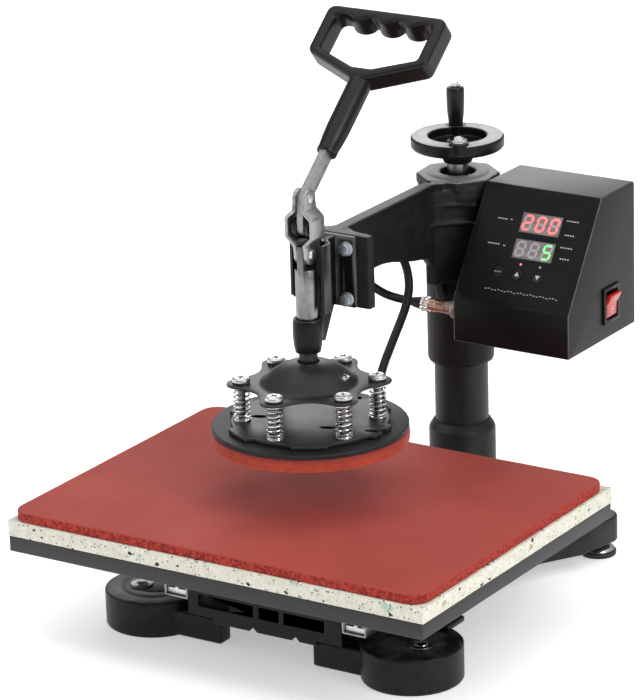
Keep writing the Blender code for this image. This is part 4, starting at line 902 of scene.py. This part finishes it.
def make_grip():
    """The moulded D handle: finger hollows inside its bar, and a sleeve that tapers down the lever."""
    half = 54.2
    outer = spread_corners([(-7.0, 111.2), (7.0, 111.2), (half, 130.4), (half, 176.0), (-half, 176.0),
        (-half, 130.4)], [2, 2, 7, 7, 7, 7], [4, 12, 12, 48, 12, 12])
    inner = spread_corners([(-9.0, 121.2), (9.0, 121.2), (44.8, 134.6), (44.6, 168.0), (-44.6, 168.0),
        (-44.8, 134.6)], [3, 3, 3.5, 4.5, 4.5, 3.5], [4, 12, 12, 48, 12, 12])
    bumps = (-24.0, 0.6, 24.6)
    rows = []
    depth, soft = 9.5, 2.6
    quarter = [math.pi / 2 * k / 4 for k in range(5)]
    levels = [(depth - soft * (1 - math.sin(a)), soft * (1 - math.cos(a))) for a in reversed(quarter)]
    levels += [(depth - soft - (2 * (depth - soft)) * k / 6, 0.0) for k in range(1, 6)]
    levels += [(-h, d) for h, d in reversed(levels[:5])]

    def scallop(x, height):
        back = (depth - height) / (2 * depth)
        nearest = min(abs(x - c) for c in bumps)
        wave = 0.5 + 0.5 * math.cos(math.pi * min(1.0, nearest / 11.0))
        lump = math.sqrt(max(0.0, 1.0 - (nearest / 10.2) ** 2))
        return (1.0 - back) * 3.4 * wave + back * 6.4 * lump

    for height, distance in levels:
        rows.append([(x, y, height) for x, y in inset(outer, distance)])
    for height, distance in reversed(levels):
        row = []
        for x, y in inset(inner, -distance):
            if y > 160 and abs(x) < 41:
                y -= scallop(x, height)
            row.append((x, y, height))
        rows.append(row)
    frame_bm = skin(rows, closed=True)
    sleeve = turned(rounded([(0, 115.0), (9.2, 115.0), (9.5, 108.0), (9.45, 68.0), (8.9, 57.0), (8.1, 48.0),
        (8.3, 46.2), (8.2, 43.5), (0, 43.5)], [0, 2.5, 0, 12, 12, 0, 0.8, 1.2, 0], 4, closed=False), 48)
    socket = block((-3.0, -6.3, 40.0), (3.0, 6.3, 80.0), 0)
    sleeve = carved(sleeve, socket)
    sleeve.transform(TO_Y)
    whole = joined(frame_bm, sleeve)
    piece("d_grip_moulding", whole, "moulding", "lever", turn=LEVER, stands_for=["d_grip"])


def lobed(valley=47.6, lobe=11.6):
    """The outline of the six-lobed plate."""
    outline = []
    reach = math.radians(64)
    for i in range(6):
        middle, *centre = around_head(i)
        centre = Vector(centre)
        arms = [middle + reach * (k / 8 - 1) for k in range(17)]
        outline += [tuple(centre + Vector((math.cos(a), math.sin(a))) * lobe) for a in arms]
        start = Vector(outline[-1])
        out = Vector((-math.sin(arms[-1]), math.cos(arms[-1])))
        fold = middle + math.pi / 6
        axis = Vector((math.cos(fold), math.sin(fold)))
        end = 2 * start.dot(axis) * axis - start
        back = 2 * out.dot(axis) * axis - out
        pull = (valley - start.dot(axis)) * 4 / 3 / out.dot(axis)
        for k in range(1, 12):
            t = k / 12
            spot = ((1 - t) ** 3 * start + 3 * (1 - t) ** 2 * t * (start + out * pull)
                + 3 * (1 - t) * t * t * (end + back * pull) + t ** 3 * end)
            outline.append(tuple(spot))
    return outline


def make_spider():
    """The domed plate: a flat lobed rim that rises into a dome, with a kidney-shaped hole."""
    outline = lobed()
    low, high, top = 204.8, 206.8, 224.0
    rise = [(39.0, 0.0), (37.0, 1.2), (33.5, 4.6), (29.0, 8.6), (24.0, 11.9), (18.0, 14.6), (11.0, 16.4),
        (9.0, 16.7)]
    rows = []
    for distance, height in ((0.7, low), (0.2, low + 0.2), (0.0, low + 0.7), (0.0, high - 0.7),
            (0.2, high - 0.2), (0.7, high)):
        rows.append([(x, y, height) for x, y in inset(outline, distance)])
    flat = rows[-1]

    def circle_row(radius, height):
        return [(x / math.hypot(x, y) * radius, y / math.hypot(x, y) * radius, height) for x, y, _ in flat]

    rows.append(circle_row(41.5, high))
    rows += [circle_row(r, high + h) for r, h in rise]
    rows += [circle_row(9.0, high + 14.7)]
    rows += [circle_row(r, high + h - 2.0) for r, h in reversed(rise[1:-1])]
    rows.append(circle_row(38.0, low))
    plate_bm = skin(rows, closed=True)
    cutters = []
    for i in range(6):
        _, x, y = around_head(i)
        cutters.append(moved(rod(3.6, low - 3, high + 3, 20), (x, y, 0)))
    kidney = []
    for radius, way in ((32.5, 1), (28.0, -1)):
        turns = [math.radians(12 + way * (k * 3.6 - 14.4)) for k in range(9)]
        kidney += [(radius * math.cos(t), radius * math.sin(t)) for t in turns]
    cutters.append(plate(rounded(kidney, 1.0, 2), low - 3, top + 8, 0.0, 1))
    spider = carved(plate_bm, *cutters)
    piece("spider_dome", spider, "head_paint", "plunger", at=(0, PRESS_Y, 0),
        stands_for=["spider_plate"])
    lug = turned([(0, 3.4), (1.6, 3.3), (2.6, 2.6), (2.9, 1.6), (2.9, -2.0), (0, -2.0)], 24)
    angle = math.radians(6)
    piece("dome_lug", lug, "chrome", "plunger", at=(29.6 * math.cos(angle), PRESS_Y + 29.6 * math.sin(angle),
        211.0))


def make_springs():
    low, high, radius, gauge, turns = 177.1, 204.5, 6.1, 0.68, 6.2
    for i in range(6):
        _, x, y = around_head(i)
        y += PRESS_Y
        line = []
        closed = 0.8  # turns that lie flat at each end
        total = turns + 2 * closed
        steps = int(total * 22)
        for k in range(steps + 1):
            at = total * k / steps
            if at < closed:
                climb = gauge * 1.6 * at / closed
            elif at > total - closed:
                climb = (high - low - 2 * gauge) - gauge * 1.6 * (total - at) / closed
            else:
                share = (at - closed) / turns
                climb = gauge * 1.6 + share * (high - low - 2 * gauge - 3.2 * gauge)
            phase = 2 * math.pi * at + i
            line.append((x + radius * math.cos(phase), y + radius * math.sin(phase), low + gauge + climb))
        coil = piece(f"spring_{i + 1}_coil", wire(line, gauge, 8), "chrome", "plunger",
            stands_for=[f"spring_{i + 1}"])
        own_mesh(coil)
        seat = turned([(3.3, 177.4), (6.7, 177.4), (6.9, 177.1), (6.9, 176.6), (6.7, 176.4), (3.3, 176.4)],
            32, closed=True)
        piece(f"spring_seat_{i + 1}", seat, "chrome", "heater", at=(x, y, 0))
        shank = rod(3.0, 175.8, 206.9)
        piece(f"head_screw_shank_{i + 1}", shank, "steel", "heater", at=(x, y, 0))
        head_profile = [(0, 4.9), (4.2, 4.8), (6.0, 4.5), (6.9, 3.9), (7.2, 3.1), (7.25, 1.7), (6.9, 1.3),
            (0, 1.3)]
        head = turned(head_profile, 36)
        cross = [moved(block((-3.3, -0.9, 3.0), (3.3, 0.9, 7.0), 0), turn=Matrix.Rotation(t, 4, "Z"))
            for t in (0.4 + i, 0.4 + i + math.pi / 2)]
        head = carved(head, *cross)
        piece(f"head_screw_{i + 1}", head, "screw", "heater", at=(x, y, 206.8))
        washer = turned([(3.2, 208.0), (6.9, 208.0), (7.0, 207.8), (7.0, 207.2), (6.8, 207.1), (3.2, 207.1)],
            32, closed=True)
        piece(f"head_washer_{i + 1}", washer, "heater_paint", "heater", at=(x, y, 0))


def make_carrier():
    """The plate under the springs: a stepped rim, cable hole and lens-shaped slots."""
    rim = []
    for i in range(6):
        middle = math.degrees(SCREW_TURN) + 60.0 * i
        for radius, start, end in ((62.5, -15.5, 15.5), (67.0, 18.0, 42.0)):
            for k in range(9):
                a = math.radians(middle + start + (end - start) * k / 8)
                rim.append((radius * math.cos(a), radius * math.sin(a)))
    low, high = 173.3, 176.3
    base = plate(rim, low, high, 0.6, 3)
    cutters = [moved(rod(7.0, low - 3, high + 3, 32), (34.5, 47.0, 0))]
    lens = [(7.0 * x, 3.4 * y) for x, y in polygon(1.0, 24)]
    for x, y in ((-36.8, -15.8), (24.4, -12.4), (59.5, -2.0), (8.2, 58.0), (-24.0, 38.0)):
        cutters.append(moved(plate(lens, low - 3, high + 3, 0.0, 1), (x, y, 0),
            Matrix.Rotation(0.35, 4, "Z")))
    for a in (182.2, 2.2):
        x, y = 66.0 * math.cos(math.radians(a)), 66.0 * math.sin(math.radians(a))
        cutters.append(moved(rod(4.2, low - 3, high + 3), (x, y, 0)))
    carrier = carved(base, *cutters)
    piece("carrier_disc", carrier, "head_paint", "heater", at=(0, PRESS_Y, 0),
        stands_for=["carrier_plate"])
    bore = moved(rod(4.0, 180.5, 190.0, 32), GLAND)
    eased("heater_plate", "heater_paint", 0.5, 2, [bore])
    boot = turned([(4.0, 184.6), (4.9, 184.6), (5.3, 185.6), (5.1, 187.2), (4.6, 188.4), (4.0, 188.5)], 36,
        closed=True)
    piece("cable_boot", boot, "rubber", "heater", at=GLAND)
    low, high, radius = 158.7, 169.3, 78.0
    profile = rounded([(0, high), (radius - 0.6, high), (radius, high - 3.0), (radius, low), (0, low)],
        [0, 1.0, 1.0, 1.6, 0], 4, closed=False)
    disc = piece("silicone_disc_pad", turned(profile, 128), "disc_silicone", "heater", at=(0, PRESS_Y, 0),
        stands_for=["silicone_disc"])
    eased("plunger_rod", "steel", 0.4, 2)


def make_wheel():
    """The handwheel: turned rim face, dark bowl and hub, boss with a screw, lift screw and revolving knob."""
    top, outer, inner = 348.4, 38.3, 24.0
    profile = [(0, top - 4.5), (8.0, top - 4.5), (9.5, top - 5.6), (12.0, top - 8.0),
        (inner - 1.0, top - 8.0), (inner, top - 7.0), (inner, top - 0.4), (outer - 1.2, top - 0.4),
        (outer, top - 1.4), (outer, top - 8.4), (outer - 1.6, top - 10.4), (inner + 2.0, top - 10.6),
        (15.0, top - 12.0), (14.4, top - 16.0), (11.4, top - 22.5), (0, top - 22.5)]
    radii = [0, 0, 0, 2, 1, 0, 0.5, 0.8, 1.0, 1.2, 1.2, 1.5, 2.0, 1.5, 0.8, 0]
    wheel = turned(rounded(profile, radii, 3, closed=False), 96)
    turn = math.radians(123.0)
    knob = (31.0 * math.cos(turn), 31.0 * math.sin(turn))
    hole = moved(rod(2.9, top - 20, top + 5), (*knob, 0))
    wheel = carved(wheel, hole)
    piece("handwheel_body", wheel, "bracket_paint", "handwheel", at=(0, COLUMN_Y, 0),
        stands_for=["handwheel"])
    face = [(inner + 0.9, top - 0.6), (inner + 1.1, top), (outer - 1.4, top), (outer - 1.1, top - 0.6)]
    grooves = [(outer - 4.0, top), (outer - 4.2, top - 0.15), (outer - 4.4, top)]
    face_ring = turned([face[0], face[1], *reversed(grooves), face[2], face[3]], 96, closed=True)
    cutters = [moved(rod(8.2, top - 5, top + 5, 32), (x, y, 0)) for x, y in (knob, (-knob[0], -knob[1]))]
    piece("rim_face", carved(face_ring, *cutters), "turned_alloy", "handwheel", at=(0, COLUMN_Y, 0))
    knob_boss = moved(turned([(3.0, 0.25), (7.6, 0.25), (8.0, -0.2), (8.0, -7.8), (3.0, -7.8)], 36,
        closed=True), (*knob, 0))
    piece("knob_boss", knob_boss, "bracket_paint", "handwheel", at=(0, COLUMN_Y, top))
    boss = turned([(0, 2.2), (7.2, 2.2), (7.9, 1.7), (8.0, 0.8), (8.0, -7.8), (0, -7.8)], 36)
    piece("wheel_boss", boss, "bracket_paint", "handwheel", at=(-knob[0], COLUMN_Y - knob[1], top))
    flange = turned([(0, 3.1), (5.2, 3.1), (5.5, 2.8), (5.5, 2.2), (0, 2.2)], 36)
    screw = merged(plate(polygon(4.3, 6), 3.1, 6.0, 0.7), flange,
        turned([(0, 7.2), (1.8, 7.0), (2.7, 6.3), (2.8, 5.8), (0, 5.8)], 24))
    piece("boss_screw", screw, "screw", "handwheel", at=(-knob[0], COLUMN_Y - knob[1], top))
    washer = turned([(9.2, 312.9), (12.6, 312.9), (12.9, 312.5), (12.9, 312.0), (9.2, 312.0)], 48,
        closed=True)
    piece("lift_washer", washer, "print", "handwheel", at=(0, COLUMN_Y, 0))
    stem_low, stem_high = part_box("lift_screw")
    stem = [(0, stem_high.z / MM), (8.75, stem_high.z / MM), (8.75, 312.6), (13.2, 312.2), (13.2, 309.1),
        (8.9, 309.1)]
    for k in range(20):
        z = 296.0 - k * 2.9
        stem += [(8.9, z), (7.7, z - 1.0), (8.9, z - 2.0)]
    stem += [(7.0, stem_low.z / MM), (0, stem_low.z / MM)]
    piece("lift_screw_stem", turned(stem, 48), "steel", "handwheel", at=(0, COLUMN_Y, 0),
        stands_for=["lift_screw"])
    where = (knob[0], COLUMN_Y + knob[1], top)
    pin = rod(2.5, -13.0, 33.0)
    piece("knob_spindle_pin", merged(pin, plate(polygon(4.9, 6), 32.9, 35.0, 0.7),
        turned([(0, 36.0), (1.8, 35.9), (2.8, 35.2), (2.9, 34.8), (0, 34.8)], 20)), "chrome", "handwheel",
        at=where, stands_for=["knob_spindle"])
    grip = [(2.8, 32.3), (5.6, 32.3), (6.9, 31.6), (7.35, 30.4), (7.45, 27.0), (7.3, 18.0), (6.9, 10.0),
        (6.1, 3.0), (6.0, 0.6), (5.6, 0.3), (2.8, 0.3)]
    piece("spin_knob_grip", turned(grip, 48, closed=True), "moulding", "spin_knob", at=where,
        stands_for=["spin_knob"])


# ---------------------------------------------------------------------------------------------------------
# The controller


def in_panel(u):
    """The place of a key on the panel."""
    return PANEL @ Matrix.Translation((u, KEY_ROW, 0.0))


def make_shell():
    low_y, high_y, low_z, high_z = 100.8, 209.8, 196.8, 316.9
    side = [(low_y, low_z), (high_y + 8, low_z), (high_y + 8, high_z), (SLOPE_TOP[0], high_z),
        (low_y, SLOPE_BOTTOM[1])]
    outer = plate(rounded(side, 1.8, 4), BOX_LEFT, BOX_RIGHT, 1.7, 4)
    outer.transform(YZ)
    wall = 2.0
    inner = [(low_y + wall, low_z + wall), (high_y + 12, low_z + wall), (high_y + 12, high_z - wall),
        (SLOPE_TOP[0] + 1.44, high_z - wall), (low_y + wall, SLOPE_BOTTOM[1] - 1.04)]
    hollow = plate(inner, BOX_LEFT + wall, BOX_RIGHT - wall, 0.0, 1)
    hollow.transform(YZ)
    cutters = [hollow, block((0.0, high_y, 150.0), (200.0, high_y + 40.0, 400.0), 0)]
    for u in KEYS.values():
        hole = rod(5.1, -8, 8, 40)
        cutters.append(moved(hole, turn=in_panel(u)))
    for low_v, high_v in DISPLAY_ROWS:
        cutters.append(moved(block((DISPLAY_SIDES[0], low_v, -8), (DISPLAY_SIDES[1], high_v, 8), 0),
            turn=PANEL))
    cutters.append(block((135.0, 158.5, 211.5), (147.0, 180.5, 238.5), 0))
    cutters.append(moved(rod(4.6, -6, 6, 32), SOCKET, TO_X))
    shell = carved(outer, *cutters)
    case = piece("box_shell_case", shell, "shell", "arm", stands_for=["box_shell"])
    case.data.materials.append(STUFF["shell_edge_highlight"])
    # The faces in the middle of the rounded edges take a paler material: a painted highlight along the box's
    # edges.
    planes = [Vector(n) for n in ((1, 0, 0), (0, 1, 0), (0, 0, 1))] + [PANEL.to_3x3() @ Vector((0, 0, 1))]
    for face in case.data.polygons:
        if max(abs(face.normal.dot(plane)) for plane in planes) < 0.93:
            face.material_index = 1
    eased("box_cover", "shell", 0.4)
    eased("power_inlet", "moulding", 0.8, 3)
    eased("rocker_bezel", "moulding", 0.7, 3)
    repaint("control_board", "board")
    for x, z in ((40.5, 203.5), (134.5, 203.5), (40.5, 310.2), (134.5, 310.2)):
        head = turned([(0, 1.6), (1.9, 1.5), (3.1, 0.9), (3.4, 0.1), (0, 0.1)], 24)
        piece(f"cover_screw_{x:.0f}_{z:.0f}", head, "zinc", "arm", at=(x, 207.5, z), turn=TO_Y)


def bar(u, v, length, width, slant=0.0, turn=0.0):
    """A thin hexagonal stroke centred on (u, v)."""
    half, w = length / 2, width / 2
    tip = min(half, w)
    corners = [(-half, 0), (-half + tip, -w), (half - tip, -w), (half, 0), (half - tip, w), (-half + tip, w)]
    made = []
    for x, y in corners:
        a, b = x * math.cos(turn) - y * math.sin(turn), x * math.sin(turn) + y * math.cos(turn)
        made.append((u + a + slant * b, v + b))
    return made


SEGMENTS = {"0": "abcdef", "2": "abged", "5": "afgcd", "8": "abcdefg"}


def digit_strokes(u, v, lit):
    """The strokes of one seven-part digit centred on (u, v): those in lit, and the others."""
    half_w, half_h, slant = 3.3, 5.8, 0.12
    places = {"a": (0, half_h, 0), "g": (0, 0, 0), "d": (0, -half_h, 0), "b": (half_w, half_h / 2, 1),
        "c": (half_w, -half_h / 2, 1), "f": (-half_w, half_h / 2, 1), "e": (-half_w, -half_h / 2, 1)}
    shown, hidden = [], []
    for key, (x, y, upright) in places.items():
        length = 5.6 if upright else 6.2
        stroke = bar(u + x + slant * y, v + y, length, 2.1, slant, math.pi / 2 if upright else 0.0)
        (shown if key in lit else hidden).append(stroke)
    return shown, hidden


def panel_print(name, outlines, material, body="arm", low=0.30, high=0.42, stands_for=()):
    shapes = [plate(o, low, high, 0.0, 1) for o in outlines]
    return piece(name, merged(*shapes), material, body, turn=PANEL, stands_for=stands_for)


def make_panel():
    """The film with its displays, lamps, keys and printed marks."""
    film = plate(rectangle((4.6, 3.0), (102.4, 97.6), 3.0, 5), 0.02, 0.28, 0.08, 1)
    cutters = []
    for low_v, high_v in DISPLAY_ROWS:
        cutters.append(block((DISPLAY_SIDES[0], low_v, -3), (DISPLAY_SIDES[1], high_v, 3), 0))
    for u in KEYS.values():
        cutters.append(moved(rod(5.1, -3, 3, 40), (u, KEY_ROW, 0)))
    piece("panel_film", carved(film, *cutters), "film", "arm", turn=PANEL)
    red, green, dim = [], [], []
    for row, text, lit in ((71.7, "200", red), (49.45, "  5", green)):
        for column, digit in enumerate(text):
            shown, hidden = digit_strokes(47.6 + 12.1 * column, row, SEGMENTS.get(digit, ""))
            lit += shown
            dim += hidden
    panel_print("digits_red", red, "red_segment", low=-0.35, high=-0.12)
    panel_print("digits_green", green, "green_segment", low=-0.35, high=-0.12)
    panel_print("digits_unlit", dim, "dim_segment", low=-0.35, high=-0.14)
    faces = merged(*[block((41.5, low_v + 0.3, -3.6), (78.0, high_v - 0.3, -0.3), 0.3) for low_v,
        high_v in DISPLAY_ROWS])
    back = block((37.2, 36.9, -6.3), (82.3, 84.5, -2.4), 0.4)
    piece("display_module", joined(back, faces), "glass", "arm", turn=PANEL, stands_for=["display_unit"])
    marks = []
    for u, v in ((32.7, 72.2), (32.6, 49.9)):
        marks.append(bar(u, v, 2.4, 0.7))
    for u, v, count in ((24.6, 71.9, 4), (22.7, 50.4, 5), (87.4, 77.9, 5), (87.8, 66.1, 4), (88.0, 55.5, 5),
            (89.1, 46.2, 4)):
        for k in range(count):
            marks.append(bar(u + (k - (count - 1) / 2) * 2.3, v, 1.7, 1.2))
    for k in range(23):
        marks.append(bar(27.0 + k * 2.95, 12.6 + 0.5 * math.sin(k * 1.9), 1.9, 0.55,
            turn=0.35 * math.sin(k * 1.3)))
    panel_print("panel_marks", marks, "print", low=0.2, high=0.34)
    for name, u, stuff in (("lamp_lit", 52.2, "red_segment"), ("lamp_dark", 69.8, "dim_segment")):
        lamp = turned([(0, 0.75), (0.6, 0.65), (1.0, 0.3), (1.0, -0.2), (0, -0.2)], 24)
        piece(name, moved(lamp, (u, 36.5, 0.1)), stuff, "arm", turn=PANEL)
    for name, u in KEYS.items():
        cap = turned(rounded([(0, 0.9), (4.8, 0.9), (4.8, -6.0), (0, -6.0)], [0, 0.5, 0.3, 0], 3,
            closed=False), 48)
        piece(f"{name}_cap", cap, "moulding", name, turn=in_panel(u), stands_for=[name])
    arrow = [(-2.1, -1.5), (2.1, -1.5), (0.0, 2.1)]
    panel_print("mark_up", [[(KEYS["button_up"] + x, KEY_ROW + y) for x, y in arrow]], "print", "button_up",
        0.8, 1.0)
    panel_print("mark_down", [[(KEYS["button_down"] - x, KEY_ROW - y) for x, y in arrow]], "print",
        "button_down", 0.8, 1.0)
    dots = [bar(KEYS["button_set"] + k * 2.2, KEY_ROW, 1.5, 0.8) for k in (-1, 0, 1)]
    panel_print("mark_set", dots, "print", "button_set", 0.8, 1.0)


def make_rocker():
    eased("rocker", "red_plastic", 1.0, 3)
    low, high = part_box("rocker")
    middle = (low.y + high.y) / 2 / MM
    lean = Matrix.Rotation(math.atan2(9.0, -4.8), 4, "Y")  # along the upper half of the rocker's face
    line = block((-0.5, -2.2, 0.0), (0.5, 2.2, 0.25), 0)
    piece("rocker_line", line, "print", "rocker", at=(144.9, middle, 231.0), turn=lean)
    loop = turned([(1.5, 0.0), (2.1, 0.0), (2.1, 0.25), (1.5, 0.25)], 32, closed=True)
    piece("rocker_loop", loop, "print", "rocker", at=(142.25, middle, 219.6), turn=TO_X)


def make_connector():
    """The lead's screw connector: a flange nut on the box, a plated barrel and a knurled clamp ring."""
    at = SOCKET
    nut = plate(polygon(8.0, 24), 0.3, 4.6, 0.6, 3)
    inner = turned([(0, -6.0), (4.2, -6.0), (4.2, 0.4), (5.6, 4.4), (5.6, 9.6), (0, 9.6)], 40)
    piece("connector_nut", merged(nut, inner), "flange", "arm", at=at, turn=TO_MINUS_X,
        stands_for=["heater_connector"])
    barrel = [(0, 9.4), (5.3, 9.4), (5.5, 9.7), (5.5, 12.0), (5.0, 12.4), (5.0, 20.6), (5.5, 21.0),
        (5.5, 23.4), (5.2, 23.8), (4.9, 24.0), (4.9, 26.6), (0, 26.6)]
    piece("connector_barrel", turned(barrel, 48), "copper", "arm", at=at, turn=TO_MINUS_X)
    count = 28
    rows = [ring(4.6, 26.4, 2 * count)]
    for height, shrink in ((26.6, 0.5), (27.2, 0.0), (29.6, 0.0), (30.1, 0.9), (30.7, 0.9), (31.2, 0.0),
            (33.4, 0.0), (34.0, 0.5)):
        line = []
        for k in range(2 * count):
            radius = 6.3 - shrink - (0.5 if k % 2 else 0.0)
            a = math.pi * k / count
            line.append((radius * math.cos(a), radius * math.sin(a), height))
        rows.append(line)
    rows.append(ring(3.8, 34.6, 2 * count))
    piece("connector_clamp", skin(rows), "chrome", "arm", at=at, turn=TO_MINUS_X, sharp=20.0)
    relief = turned([(3.6, 34.0), (5.4, 34.0), (5.3, 35.4), (4.7, 38.5), (4.2, 42.0), (3.6, 42.4)], 32,
        closed=True)
    piece("cable_relief", relief, "cable", "arm", at=at, turn=TO_MINUS_X)


STUFF = make_materials()
make_camera()
make_studio()
make_cable()
make_platen()
make_base()
make_arm()
make_toggle()
make_spider()
make_springs()
make_carrier()
make_wheel()
make_shell()
make_panel()
make_rocker()
make_connector()
